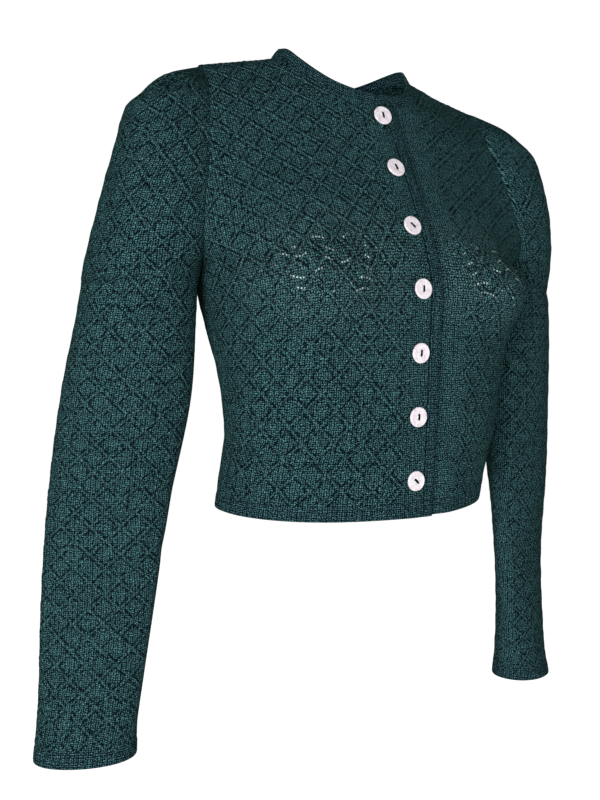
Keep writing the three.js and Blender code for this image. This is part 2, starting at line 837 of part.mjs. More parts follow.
/** Seam points of half the neckline of a face, from the centre to the shoulder. */
function necklineHalf(rows, fromRow) {
  return rows.slice(fromRow).map((row, index) => ({
    point: row.knots[0].point,
    onInnerFace: rows[fromRow + index].onInnerFace || index === 0,
  }));
}

/** A point of the neckband's top edge above a point of its seam. */
function neckbandTop(point) {
  const x = point.x * (1 - NECKBAND_LEAN);
  const y = NECK_CENTRE_Y + (point.y - NECK_CENTRE_Y) * (1 - NECKBAND_LEAN);
  return new THREE.Vector3(x, y, point.z + NECKBAND_RISE);
}

/** The neckband, from the lapping end over the back to the end beneath it. */
function neckbandNet(rightFront, leftFront, rightBack, leftBack) {
  const lapEnd = (side) => ({ point: lapPoint(NECK_ROW, -LAP, side), onInnerFace: true });
  const seam = [
    lapEnd(-1),
    ...necklineHalf(rightFront, NECK_ROW),
    ...necklineHalf(rightBack, BACK_NECK_ROW).slice(0, -1).reverse(),
    ...necklineHalf(leftBack, BACK_NECK_ROW).slice(1),
    ...necklineHalf(leftFront, NECK_ROW).slice(0, -1).reverse(),
    lapEnd(1),
  ];
  const lower = seam.map(({ point, onInnerFace }, index) =>
    knot(point, index, false, onInnerFace),
  );
  const upper = lower.map((one) => knot(neckbandTop(one.point), one.distance, false, one.onInnerFace));
  return {
    rows: [
      { knots: lower, onInnerFace: true },
      { knots: upper, onInnerFace: true },
    ],
    facing: -1,
  };
}

// ---------------------------------------------------------------- sleeves

/** One ring of knots of the sleeve below the underarm. */
function sleeveRingRow(z, rowNumber, side) {
  const ring = new SleeveRing(z);
  const half = ring.getLength() / 2;
  return knotRow({
    from: -half,
    to: half,
    rowNumber,
    trunkRow: rowNumber % 2,
    pointAt: (distance) => {
      const fraction = distance >= half ? 0 : (distance + half) / (2 * half);
      return settleSleeve(ring.getPointAt(fraction), side);
    },
    liftedAt: () => true,
    everyOther: false,
  });
}

/** One row of knots of the sleeve head, between the two halves of the armhole. */
function sleeveHeadRow(trunkRow, side) {
  const level = TRUNK_LEVELS[trunkRow];
  const { front, back } = headRow(level);
  const frontLength = front.getLength();
  const backLength = back.getLength();
  const seamPoint = (armhole) => {
    const point = pointOf(readTable(armhole, level));
    point.x *= side;
    return settleTrunk(point);
  };
  const pointAt = (distance) => {
    if (distance <= -frontLength) return seamPoint(FRONT_ARMHOLE);
    if (distance >= backLength) return seamPoint(BACK_ARMHOLE);
    const half = distance < 0 ? front : back;
    const length = distance < 0 ? frontLength : backLength;
    return settleSleeve(half.getPointAt(1 - Math.abs(distance) / length), side);
  };
  return knotRow({
    from: -frontLength,
    to: backLength,
    rowNumber: trunkRow + SLEEVE_ROWS,
    trunkRow,
    pointAt,
    liftedAt: () => true,
    everyOther: false,
  });
}

/** All rows of a sleeve, from the cuff seam to the tip at the shoulder seam. */
function sleeveRows(side) {
  const rows = [];
  const seamZ = CUFF_EDGE_Z + CUFF_BAND;
  for (let row = 0; row < SLEEVE_ROWS; row += 1) {
    const z = THREE.MathUtils.lerp(seamZ, UNDERARM_RING_Z, row / SLEEVE_ROWS);
    rows.push(sleeveRingRow(z, row, side));
  }
  for (let row = ROWS_TO_UNDERARM; row < TRUNK_LEVELS.length; row += 1) {
    rows.push(sleeveHeadRow(row, side));
  }
  return rows;
}

/** Cuff band under a sleeve. */
function cuffNet(rows, side) {
  const seam = rows[0];
  const edgeRing = new SleeveRing(CUFF_EDGE_Z);
  const seamLength = new SleeveRing(CUFF_EDGE_Z + CUFF_BAND).getLength();
  const edge = hangingRow(seam, (one) => {
    const fraction = one.distance >= seamLength / 2 ? 0 : one.distance / seamLength + 0.5;
    return settleSleeve(edgeRing.getPointAt(fraction), side);
  });
  return { rows: [edge, { ...seam, knots: plainKnots(seam.knots) }], facing: side };
}

// ---------------------------------------------------------------- buttons

/** Points of a circle whose centre is on the y axis. */
function circle(centreY, radius, count) {
  const angles = Array.from({ length: count }, (_, k) => (2 * Math.PI * k) / count);
  return angles.map(
    (angle) =>
      new THREE.Vector2(radius * Math.cos(angle), centreY + radius * Math.sin(angle)),
  );
}

/** A two-hole button, its back at z = 0. */
function buttonGeometry() {
  const face = new THREE.Shape(circle(0, BUTTON_RADIUS - BUTTON_BEVEL, 24));
  for (const y of [-BUTTON_HOLE_OFFSET, BUTTON_HOLE_OFFSET]) {
    face.holes.push(new THREE.Path(circle(y, BUTTON_HOLE_RADIUS + BUTTON_BEVEL, 6)));
  }
  const geometry = new THREE.ExtrudeGeometry(face, {
    depth: BUTTON_THICKNESS - 2 * BUTTON_BEVEL,
    bevelThickness: BUTTON_BEVEL,
    bevelSize: BUTTON_BEVEL,
    bevelSegments: 1,
  });
  return geometry.translate(0, 0, BUTTON_BEVEL);
}

/** Level of the centre front at a height. */
function levelAtHeight(z) {
  let low = 0;
  let high = NECK_LEVEL;
  for (let step = 0; step < 40; step += 1) {
    const middle = (low + high) / 2;
    if (frontPoint(middle, 0, -1).z < z) low = middle;
    else high = middle;
  }
  return low;
}

/** Places a button on the upper front, lying along the cloth and turned in degrees. */
function placeButton(mesh, { z, turn }) {
  const level = levelAtHeight(z);
  const reach = BUTTON_RADIUS;
  const step = 0.02;
  const centre = frontPoint(level, 0, -1);
  const across = frontPoint(level, -reach, -1).sub(frontPoint(level, reach, -1));
  const upward = frontPoint(level + step, 0, -1).sub(frontPoint(level - step, 0, -1));
  across.normalize();
  const outward = across.clone().cross(upward).normalize();
  const up = outward.clone().cross(across);
  mesh.quaternion.setFromRotationMatrix(new THREE.Matrix4().makeBasis(across, up, outward));
  mesh.rotateZ(THREE.MathUtils.degToRad(turn));
  mesh.position.copy(centre).addScaledVector(outward, BUTTON_SEAT);
}

// ---------------------------------------------------------------- materials

const wool = (color) => new THREE.MeshStandardMaterial({ color, roughness: 0.95, metalness: 0 });
const pearl = () => new THREE.MeshStandardMaterial({ color: 0xd9cdd3, roughness: 0.3, metalness: 0 });
const PATTERN_GREEN = 0x1f3f3a;
const BAND_GREEN = 0x1a3531;

// ---------------------------------------------------------------- assembly

const rightFront = frontRows(-1);
const leftFront = frontRows(1);
const rightBack = backRows(-1);
const leftBack = backRows(1);
const rightSleeve = sleeveRows(-1);
const leftSleeve = sleeveRows(1);

const patterned = [
  clothPiece('back', [
    { rows: rightBack, facing: 1 },
    { rows: leftBack, facing: -1 },
  ]),
  clothPiece('front_right', [{ rows: rightFront, facing: -1 }]),
  clothPiece('front_left', [{ rows: leftFront, facing: 1 }]),
  clothPiece('sleeve_right', [{ rows: rightSleeve, facing: -1 }]),
  clothPiece('sleeve_left', [{ rows: leftSleeve, facing: 1 }]),
];

const bands = [
  clothPiece('neckband', [neckbandNet(rightFront, leftFront, rightBack, leftBack)]),
  clothPiece('front_band_right', [frontBandNet(-1)]),
  clothPiece('front_band_left', [frontBandNet(1)]),
  clothPiece('hem_band_back', [backHemNet(-1), backHemNet(1)]),
  clothPiece('hem_band_front_right', [frontHemNet(-1)]),
  clothPiece('hem_band_front_left', [frontHemNet(1)]),
  clothPiece('cuff_band_right', [cuffNet(rightSleeve, -1)]),
  clothPiece('cuff_band_left', [cuffNet(leftSleeve, 1)]),
];

/** Normals of the whole garment, so that the walls of two sewn pieces meet. */
const normals = new Map();
for (const piece of [...patterned, ...bands]) addNormals(normals, piece.outer);
for (const normal of normals.values()) normal.normalize();

/** Names a piece's mesh and adds it to the cardigan. */
function addCloth(cardigan, piece, color) {
  const geometry = BufferGeometryUtils.mergeVertices(wallGeometry(piece, normals));
  const mesh = new THREE.Mesh(geometry, wool(color));
  mesh.name = piece.name;
  cardigan.add(mesh);
}

const cardigan = new THREE.Group();
for (const piece of patterned) addCloth(cardigan, piece, PATTERN_GREEN);
for (const piece of bands) addCloth(cardigan, piece, BAND_GREEN);
namedRows(BUTTONS).forEach((seat, index) => {
  const button = new THREE.Mesh(buttonGeometry(), pearl());
  button.name = `button_${index + 1}`;
  placeButton(button, seat);
  cardigan.add(button);
});

export default cardigan;
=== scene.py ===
"""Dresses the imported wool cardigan: knitted cloth, ribbed borders and pearl buttons.

The cloth is drawn again from the garment's own section tables, at the grain of the
knitting, and every piece stands for the solid of the same name. Lengths are in
millimetres until a mesh is made. +Z is up, the front faces -Y and the wearer's left is
+X; the origin lies at the middle of the neck opening.
"""

import logging
from dataclasses import dataclass, replace
from enum import Enum
from typing import Callable

import bpy
import numpy as np
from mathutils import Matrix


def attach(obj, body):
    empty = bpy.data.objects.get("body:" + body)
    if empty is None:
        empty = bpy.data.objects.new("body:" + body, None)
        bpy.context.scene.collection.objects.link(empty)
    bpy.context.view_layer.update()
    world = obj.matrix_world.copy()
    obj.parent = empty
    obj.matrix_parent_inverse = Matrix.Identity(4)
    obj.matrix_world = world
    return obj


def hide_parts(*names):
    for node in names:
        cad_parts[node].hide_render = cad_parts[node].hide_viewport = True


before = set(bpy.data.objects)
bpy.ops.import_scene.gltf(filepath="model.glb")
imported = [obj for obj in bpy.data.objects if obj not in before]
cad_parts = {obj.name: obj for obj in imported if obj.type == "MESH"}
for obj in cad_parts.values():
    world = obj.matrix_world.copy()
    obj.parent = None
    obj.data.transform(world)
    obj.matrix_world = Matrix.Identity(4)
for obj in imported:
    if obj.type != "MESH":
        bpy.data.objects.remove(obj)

log = logging.getLogger("cardigan")

MM = 0.001
TURN = 2 * np.pi
SQRT_HALF = 0.7071
# A length in mm too short to count, and the least that anything is divided by.
TINY = 1e-9
# Points that a curve is measured at.
CURVE_SAMPLES = 241
# The step, in levels or in widths of a strip, that a surface's direction is taken over.
NORMAL_STEP = 0.02
# The knitting's maps of neighbouring buttons lie this far apart, in mm.
LAY_SHIFT = 40
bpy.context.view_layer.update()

Array = np.ndarray
Curve = Callable[[Array], Array]
Surface = Callable[[Array, Array], Array]


class Side(Enum):
    """Which half of the garment, as the wearer has it."""

    RIGHT = -1
    LEFT = 1

    @property
    def word(self) -> str:
        """The half's name as the pieces spell it."""
        return self.name.lower()


# ------------------------------------------------------------------ section tables


@dataclass(frozen=True)
class SectionTable:
    """Named columns of sizes, read smoothly by the first column.

    Between two rows a column follows the cubic that meets both rows' values and slopes,
    and a row's slope is the straight one between its two neighbours.
    """

    columns: str
    rows: tuple[tuple[float, ...], ...]

    def read(self, at: Array) -> dict[str, Array]:
        """Reads every column.

        Args:
            at: Values of the first column, in any shape.

        Returns:
            One array of that shape for each column name.
        """
        rows = np.array(self.rows, float)
        before = np.vstack([rows[:1], rows[:-1]])
        after = np.vstack([rows[1:], rows[-1:]])
        slopes = (after - before) / (after[:, :1] - before[:, :1])
        value = np.clip(np.asarray(at, float), rows[0, 0], rows[-1, 0])
        index = np.searchsorted(rows[:, 0], value, side="right") - 1
        index = np.clip(index, 0, len(rows) - 2)
        span = (rows[index + 1, 0] - rows[index, 0])[..., None]
        u = (value - rows[index, 0])[..., None] / span
        read = (
            (2 * u**3 - 3 * u**2 + 1) * rows[index]
            + (u**3 - 2 * u**2 + u) * span * slopes[index]
            + (3 * u**2 - 2 * u**3) * rows[index + 1]
            + (u**3 - u**2) * span * slopes[index + 1]
        )
        return {name: read[..., k] for k, name in enumerate(self.columns.split())}


def point_of(read: dict[str, Array]) -> Array:
    """The x, y and z columns of a table's reading, as points."""
    return np.stack([read["x"], read["y"], read["z"]], axis=-1)


FRONT_CENTRE = SectionTable(
    "level x y z inner_reach outer_reach straight",
    (
        (0.0, 0, -126, -416, 0.62, 0.6, 0),
        (0.1, 0, -127, -376, 0.62, 0.6, 0),
        (0.2, 0, -129, -336, 0.62, 0.6, 0),
        (0.33, 0, -132, -281, 0.66, 0.62, 0),
        (0.43, 0, -134, -240, 0.72, 0.64, 0),
        (0.51, 0, -135, -205, 0.74, 0.66, 0),
        (0.6, 0, -120, -156, 0.62, 0.68, 0),
        (0.7, 0, -99, -111, 0.58, 0.5, 0.25),
        (0.8, 0, -80, -70, 0.52, 0.45, 0.55),
        (0.886, 0, -68, -36, 0.45, 0.4, 0.8),
        (0.905, 24, -65, -33, 0.43, 0.38, 0.86),
        (0.924, 43, -55, -26, 0.41, 0.37, 0.9),
        (0.943, 57, -42, -15.5, 0.39, 0.36, 0.94),
        (0.962, 67, -27, -3.5, 0.37, 0.35, 0.97),
        (0.981, 73, -12, 7, 0.35, 0.34, 0.99),
        (1.0, 75, 4, 10.5, 0.33, 0.33, 1),
    ),
)
BACK_CENTRE = SectionTable(
    "level x y z inner_reach outer_reach straight",
    (
        (0.0, 0, 51, -410, 0.64, 0.6, 0),
        (0.1, 0, 43, -373, 0.64, 0.6, 0),
        (0.2, 0, 41, -335, 0.64, 0.6, 0),
        (0.33, 0, 52, -281, 0.64, 0.6, 0),
        (0.43, 0, 66, -240, 0.64, 0.6, 0),
        (0.51, 0, 78, -205, 0.64, 0.6, 0),
        (0.6, 0, 90, -156, 0.66, 0.6, 0),
        (0.7, 0, 95, -112, 0.62, 0.5, 0.25),
        (0.8, 0, 90, -68, 0.52, 0.45, 0.55),
        (0.886, 0, 76, -22, 0.45, 0.4, 0.8),
        (0.905, 0, 66, -8, 0.43, 0.38, 0.86),
        (0.924, 26, 63, -6, 0.41, 0.37, 0.9),
        (0.943, 46, 53, -1, 0.39, 0.36, 0.94),
        (0.962, 61, 39, 4.5, 0.37, 0.35, 0.97),
        (0.981, 71, 22, 9, 0.35, 0.34, 0.99),
        (1.0, 75, 4, 10.5, 0.33, 0.33, 1),
    ),
)
SIDE_SEAM = SectionTable(
    "level x y z",
    (
        (0.0, 138, -39, -410),
        (0.1, 140, -43, -373),
        (0.2, 143, -45, -335),
        (0.33, 149, -39, -283),
        (0.43, 156, -32, -248),
        (0.51, 160, -23, -222),
        (0.6, 163, -8, -195),
    ),
)
FRONT_ARMHOLE = SectionTable(
    "level x y z",
    (
        (0.6, 163, -8, -195),
        (0.64, 173, -44, -181),
        (0.7, 179, -62, -157),
        (0.8, 173, -57, -113),
        (0.88, 166, -43, -74),
        (0.94, 160, -26, -39),
        (1.0, 155, -4, -10),
    ),
)
BACK_ARMHOLE = SectionTable(
    "level x y z",
    (
        (0.6, 163, -8, -195),
        (0.7, 160, 22, -155),
        (0.8, 158, 30, -113),
        (0.88, 157, 27, -74),
        (0.94, 156, 14, -39),
        (1.0, 155, -4, -10),
    ),
)
SLEEVE_HEAD = SectionTable(
    "level x y z front_y back_y flare",
    (
        (0.6, 259.5, 3, -203, -68, 56, 0.1),
        (0.7, 252, -2, -160, -71, 47, 0.2),
        (0.8, 245, -8, -116, -65, 44, 0.28),
        (0.886, 238, -12, -81, -54, 37, 0.3),
        (0.924, 234, -12, -65, -48, 32, 0.32),
        (0.943, 229, -11, -55, -46, 29, 0.33),
        (0.962, 219, -10, -46, -39, 22, 0.34),
        (0.981, 197, -8, -26, -21, 14, 0.45),
        (1.0, 155, -4, -10, -4, -4, 0.3),
    ),
)
SLEEVE_RINGS = SectionTable(
    "z x y half_width half_depth turn rise",
    (
        (-636, 261, 13, 46, 30, 30, 0.07),
        (-600, 259, 15, 45.5, 25, 30, 0.05),
        (-500, 251, 12, 51, 20, 28, 0.03),
        (-400, 241, 4, 54.5, 27, 27, 0),
        (-300, 225, -2, 57, 36, 22, 0),
        (-215, 214.5, -4, 48, 46, 12, 0),
        (-197, 213.5, -3, 47, 46, 8, 0),
    ),
)
SLEEVE_SWAY = SectionTable(
    "z x",
    (
        (-636, -3),
        (-560, 0),
        (-400, 0),
        (-300, -1),
        (-210, -3.5),
        (-175, -2.5),
        (-90, 5),
        (20, 5),
    ),
)
LEAN = SectionTable(
    "z x",
    ((-416, -12), (-376, -7), (-336, 0), (-240, 3), (-205, 4), (-150, 2), (20, 0)),
)

# Each soft trough runs from a to b: ax ay az bx by bz width depth.
TRUNK_FOLDS = (
    (-150, -60, -118, -122, -105, -172, 13, 3.4),
    (146, -62, -122, 118, -108, -178, 13, 2.8),
    (-152, -55, -196, -120, -112, -236, 12, 2.2),
    (-146, 30, -120, -118, 74, -176, 15, 3.2),
    (148, 28, -116, 112, 78, -168, 15, 3.6),
    (-70, 60, -318, 40, 56, -306, 13, 2.6),
    (96, 40, -338, 20, 50, -346, 12, 2.2),
)
SLEEVE_FOLDS = (
    (186, -34, -206, 214, -52, -238, 13, 3),
    (196, -40, -392, 232, -30, -412, 13, 3),
    (206, -24, -446, 240, -16, -470, 12, 2.2),
    (262, 34, -250, 236, 38, -296, 14, 2.6),
)


# ------------------------------------------------------------------ lie of the cloth


def smoothstep(value: Array, start: float, end: float) -> Array:
    """Runs from 0 at start to 1 at end as 3t^2 - 2t^3."""
    t = np.clip((np.asarray(value, float) - start) / (end - start), 0, 1)
    return t * t * (3 - 2 * t)


def blend(first: Array, last: Array, share: Array) -> Array:
    """The straight way from first to last, at a share of it."""
    return first * (1 - share) + last * share


def unit(vectors: Array) -> Array:
    """The vectors at length 1."""
    return vectors / np.maximum(np.linalg.norm(vectors, axis=-1, keepdims=True), TINY)


def run_along(points: Array) -> Array:
    """Length of a line of points up to each of them."""
    return np.concatenate([[0], np.cumsum(np.linalg.norm(np.diff(points, axis=0), axis=1))])


def fold(points: Array, axis: Array, folds: tuple[tuple[float, ...], ...]) -> Array:
    """Moves points level towards an axis where they lie on the soft troughs.

    A trough is as deep as its depth times exp(-(distance / width)^2), with the distance
    taken from the straight line between its two ends.

    Args:
        points: Points of the even cloth.
        axis: The x and y of the axis for each point.
        folds: The troughs.

    Returns:
        The moved points.
    """
    depth = np.zeros(points.shape[:-1])
    for *ends, width, deepest in folds:
        start, end = np.array(ends[:3], float), np.array(ends[3:], float)
        line = end - start
        share = np.clip((points - start) @ line / (line @ line), 0, 1)
        away = np.linalg.norm(points - start - share[..., None] * line, axis=-1)
        depth += deepest * np.exp(-((away / width) ** 2))
    moved = points.copy()
    moved[..., :2] += depth[..., None] * unit(axis - points[..., :2])
    return moved


@dataclass(frozen=True)
class Body:
    """Sizes that the whole garment shares; pairs are the start and end of a change."""

    hem_seam_level: float = 0.036
    underarm_level: float = 0.6
    neck_level: float = 0.886
    back_neck_level: float = 0.905
    half_lozenge: float = 13.5
    rows_to: tuple[int, int, int] = (16, 26, 32)
    hem_height: float = 15.0
    shoulder_tilt: float = 0.03
    tilted_z: tuple[float, float] = (-250.0, -120.0)
    button_line_width: float = 55.0
    button_line_depth: tuple[float, float] = (20.0, 60.0)
    trunk_axis: tuple[float, float] = (0.0, -20.0)

    def knots(self) -> tuple[list[float], list[float]]:
        """Levels of hem, hem seam, underarm, neckline and shoulder, and their heights.

        The last three heights are whole rows of half lozenges above the hem seam.
        """
        levels = [0, self.hem_seam_level, self.underarm_level, self.neck_level, 1]
        return levels, [-self.hem_height, 0, *(n * self.half_lozenge for n in self.rows_to)]

    def stitch_height(self, level: Array) -> Array:
        """Height along the knitting in mm, above the hem seam."""
        return np.interp(level, *self.knots())

    def even_levels(self, first: float, step: float) -> Array:
        """Levels of rows a step apart along the knitting, from a first one to the top."""
        levels, heights = self.knots()
        bottom, top = self.stitch_height([first, 1])
        rows = int((top - bottom) / step) + 1
        return np.interp(np.linspace(bottom, top, rows), heights, levels)

    def tilt_share(self, z: Array) -> Array:
        """How much of the shoulders' tilt reaches a height."""
        return smoothstep(z, *self.tilted_z)

    def settle_trunk(self, points: Array) -> Array:
        """Gives points of the even trunk their folds, lean and tilt."""
        axis = np.broadcast_to(np.array(self.trunk_axis), (*points.shape[:-1], 2))
        settled = fold(points, axis, TRUNK_FOLDS)
        near_buttons = np.exp(-((points[..., 0] / self.button_line_width) ** 2))
        upright = near_buttons * smoothstep(-points[..., 1], *self.button_line_depth)
        settled[..., 0] += LEAN.read(points[..., 2])["x"] * (1 - upright)
        settled[..., 2] -= self.shoulder_tilt * points[..., 0] * self.tilt_share(points[..., 2])
        return settled


BODY = Body()


def bezier(controls: Array, t: Array) -> Array:
    """Points of cubic curves.

    Args:
        controls: One curve's four control points in each row, (rows, 4, 3).
        t: Parameters, (rows, columns).

    Returns:
        Points, (rows, columns, 3).
    """
    t = t[..., None]
    a, b, c, d = (controls[:, None, k] for k in range(4))
    return (1 - t) ** 3 * a + 3 * (1 - t) ** 2 * t * b + 3 * (1 - t) * t**2 * c + t**3 * d


def measure(curve: Curve, rows: int) -> tuple[Array, Curve]:
    """Measures curves along their length.

    Args:
        curve: Gives (rows, columns, 3) points for (rows, columns) parameters.
        rows: How many curves there are.

    Returns:
        The lengths, (rows, 1), and a function that gives the points at shares of the
        length, (rows, columns).
    """
    t = np.broadcast_to(np.linspace(0, 1, CURVE_SAMPLES), (rows, CURVE_SAMPLES))
    steps = np.linalg.norm(np.diff(curve(t), axis=1), axis=-1)
    run = np.concatenate([np.zeros((rows, 1)), np.cumsum(steps, axis=1)], axis=1)
    length = run[:, -1:]
    shares = run / np.maximum(length, TINY)

    def at(share: Array) -> Array:
        """Points at shares of the length."""
        return curve(np.stack([np.interp(s, r, t[0]) for s, r in zip(share, shares)]))

    return length, at


def measure_bezier(controls: Array) -> tuple[Array, Curve]:
    """Measures cubic curves, one curve's four control points in each row."""
    return measure(lambda t: bezier(controls, t), len(controls))


@dataclass(frozen=True)
class TrunkFace:
    """The front or the back half of the trunk, drawn for the wearer's left."""

    centre: SectionTable
    armhole: SectionTable
    slant_share: float = 0.3
    has_bust: bool = False
    bust_x: float = 103.0
    bust_z: float = -202.0
    bust_half_width: float = 78.0
    bust_half_height: float = 66.0
    bust_depth: float = 20.0
    bust_fades_from: float = 0.75
    bust_way: tuple[float, float] = (0.45, -0.89)

    def controls(self, level: Array) -> Array:
        """Control points of each row's curve, from the centre out to the seam."""
        centre = self.centre.read(level)
        above = (level > BODY.underarm_level)[:, None]
        side, armhole = (point_of(table.read(level)) for table in (SIDE_SEAM, self.armhole))
        outer = np.where(above, armhole, side)
        inner = point_of(centre)
        chord = outer - inner
        start_pull = chord * (1, 0, self.slant_share)
        end_pull = -chord * (0, 1, self.slant_share)
        straight = centre["straight"][:, None]
        start_pull += (chord - start_pull) * straight
        end_pull += (-chord - end_pull) * straight
        start_pull *= centre["inner_reach"][:, None]
        end_pull *= centre["outer_reach"][:, None]
        return np.stack([inner, inner + start_pull, outer + end_pull, outer], axis=1)

    def start(self, level: Array) -> Array:
        """Distance of a row's first point from the centre line."""
        return self.centre.read(level)["x"]

    def reach(self, level: Array) -> Array:
        """Distance from the centre line to the end of each row."""
        length, _ = measure_bezier(self.controls(level))
        return self.start(level) + length[:, 0]

    def swell(self, points: Array, share: Array) -> Array:
        """The bust: a dome as deep as cos^2 of the share of its radius."""
        across = (points[..., 0] - self.bust_x) / self.bust_half_width
        upward = (points[..., 2] - self.bust_z) / self.bust_half_height
        dome = np.cos(np.pi / 2 * np.minimum(np.hypot(across, upward), 1))
        return self.bust_depth * (1 - smoothstep(share, self.bust_fades_from, 1)) * dome**2

    def points(self, level: Array, distance: Array, side: Array | int) -> Array:
        """Points of the settled trunk.

        Args:
            level: Levels of the rows, (rows,).
            distance: Distances from the centre line, (rows, columns); below the row's
                start they are past the centre line.
            side: 1 for the wearer's left and -1 for the right, for all or for each.

        Returns:
            Points, (rows, columns, 3).
        """
        length, at = measure_bezier(self.controls(level))
        start = self.start(level)[:, None]
        share = np.minimum(np.abs(distance - start) / np.maximum(length, TINY), 1)
        points = at(share)
        if self.has_bust:
            points[..., :2] += self.swell(points, share)[..., None] * self.bust_way
        points[..., 0] *= side * np.where(distance < start - TINY, -1, 1)
        return BODY.settle_trunk(points)


FRONT = TrunkFace(FRONT_CENTRE, FRONT_ARMHOLE, has_bust=True)
BACK = TrunkFace(BACK_CENTRE, BACK_ARMHOLE)


@dataclass(frozen=True)
class Lap:
    """How the right front lies over the left one."""

    lap: float = 23.0
    band: float = 12.0
    depth: float = 4.4
    sinks_from: float = 24.0
    level_again: float = 52.0

    @property
    def band_seam(self) -> float:
        """Distance of the border's seam past the centre line."""
        return self.band - self.lap

    def push(self, distance: Array) -> Array:
        """How far the lower front is pushed in behind the upper one."""
        return self.depth * (1 - smoothstep(distance, self.sinks_from, self.level_again))

    def front(self, level: Array, distance: Array, side: Side) -> Array:
        """Points of one front, lapped.

        Args:
            level: Levels, (rows,).
            distance: Distances from the centre line, (rows, columns).
            side: Which front.

        Returns:
            Points, (rows, columns, 3).
        """
        points = FRONT.points(level, distance, side.value)
        if side is Side.LEFT:
            points[..., 1] += self.push(distance)
        return points


LAP = Lap()


@dataclass(frozen=True)
class SleeveForm:
    """The surface of a sleeve: rings up to the underarm, then the rows of its head."""

    side: Side
    cuff_edge: float = -636.0
    cuff_band: float = 13.5
    underarm_ring: float = -197.0
    ring_rows: int = 34
    squareness: float = 2.1
    lean_reach: float = 70.0
    leaning_z: tuple[float, float] = (-300.0, -215.0)
    head_z: tuple[float, float] = (-175.0, -90.0)
    low_tilt: float = 0.6
    low_tilt_depth: tuple[float, float] = (260.0, 420.0)

    @property
    def bottom(self) -> float:
        """Height of the cuff's seam."""
        return self.cuff_edge + self.cuff_band

    def even_rings(self, z: Array, share: Array) -> Array:
        """Points of the even rings.

        A ring is a superellipse: |across|^n + |forward|^n = 1 with n the squareness,
        turned about its middle and raised towards the trunk.

        Args:
            z: Heights of the rings, (rows,).
            share: Shares of each ring's length, from the underarm round the front.

        Returns:
            Points for the wearer's left sleeve, (rows, columns, 3).
        """
        ring = {name: value[:, None] for name, value in SLEEVE_RINGS.read(z).items()}
        turn = np.radians(ring["turn"])
        power = 2 / self.squareness

        def curve(t: Array) -> Array:
            """The ring at shares of a full turn."""
            cos, sin = np.cos(TURN * t), np.sin(TURN * t)
            across = -ring["half_width"] * np.sign(cos) * np.abs(cos) ** power
            forward = ring["half_depth"] * np.sign(sin) * np.abs(sin) ** power
            x = ring["x"] + across * np.cos(turn) + forward * np.sin(turn)
            y = ring["y"] + across * np.sin(turn) - forward * np.cos(turn)
            return np.stack([x, y, z[:, None] - across * ring["rise"]], axis=-1)

        _, at = measure(curve, len(z))
        return at(share)

    def ring_length(self, z: Array) -> Array:
        """Length round each ring."""
        share = np.linspace(0, 1, CURVE_SAMPLES)
        closed = self.even_rings(z, np.broadcast_to(share, (len(z), CURVE_SAMPLES)))
        return np.linalg.norm(np.diff(closed, axis=1), axis=-1).sum(axis=1)

    def settle(self, points: Array) -> Array:
        """Gives points of the even sleeve their folds, sway and tilt on this side."""
        axis = SLEEVE_RINGS.read(points[..., 2])
        settled = fold(points, np.stack([axis["x"], axis["y"]], axis=-1), SLEEVE_FOLDS)
        underarm_x = SIDE_SEAM.rows[-1][1]
        x, z = points[..., 0], points[..., 2]
        inside = 1 - smoothstep(x - underarm_x, 0, self.lean_reach)
        lean = LEAN.read(z)["x"] * inside * smoothstep(z, *self.leaning_z)
        at_head = smoothstep(z, *self.head_z)
        sway = SLEEVE_SWAY.read(z)["x"] * (1 - inside * (1 - at_head))
        settled[..., 0] = self.side.value * settled[..., 0] + lean + sway
        share = BODY.tilt_share(z) + self.low_tilt * smoothstep(-z, *self.low_tilt_depth)
        settled[..., 2] -= BODY.shoulder_tilt * self.side.value * x * share
        return settled

    def rings(self, z: Array, share: Array) -> Array:
        """Settled points of the rings."""
        return self.settle(self.even_rings(z, share))

    def head(self, level: Array, columns: int) -> tuple[Array, Array]:
        """Rows of the sleeve head between the two halves of the armhole.

        Args:
            level: Levels, (rows,).
            columns: Points in each row.

        Returns:
            Settled points, (rows, columns, 3), and distances round the sleeve.
        """
        head = SLEEVE_HEAD.read(level)
        outer = point_of(head)
        halves = []
        for armhole, bulge in ((FRONT_ARMHOLE, "front_y"), (BACK_ARMHOLE, "back_y")):
            seam = point_of(armhole.read(level))
            near = seam + (outer - seam) * head["flare"][:, None]
            far = outer.copy()
            near[:, 1] = far[:, 1] = head[bulge]
            halves.append(np.stack([seam, near, far, outer], axis=1))
        (front_length, front_at), (back_length, back_at) = map(measure_bezier, halves)
        share = np.linspace(0, 1, columns)[None]
        distance = share * (front_length + back_length) - front_length
        front = front_at(1 + np.minimum(distance, 0) / np.maximum(front_length, TINY))
        back = back_at(1 - np.maximum(distance, 0) / np.maximum(back_length, TINY))
        settled = self.settle(np.where((distance < 0)[..., None], front, back))
        for column, controls in zip((0, -1), halves):
            settled[:, column] = BODY.settle_trunk(controls[:, 0] * (self.side.value, 1, 1))
        return settled, distance


# ------------------------------------------------------------------ knitted relief


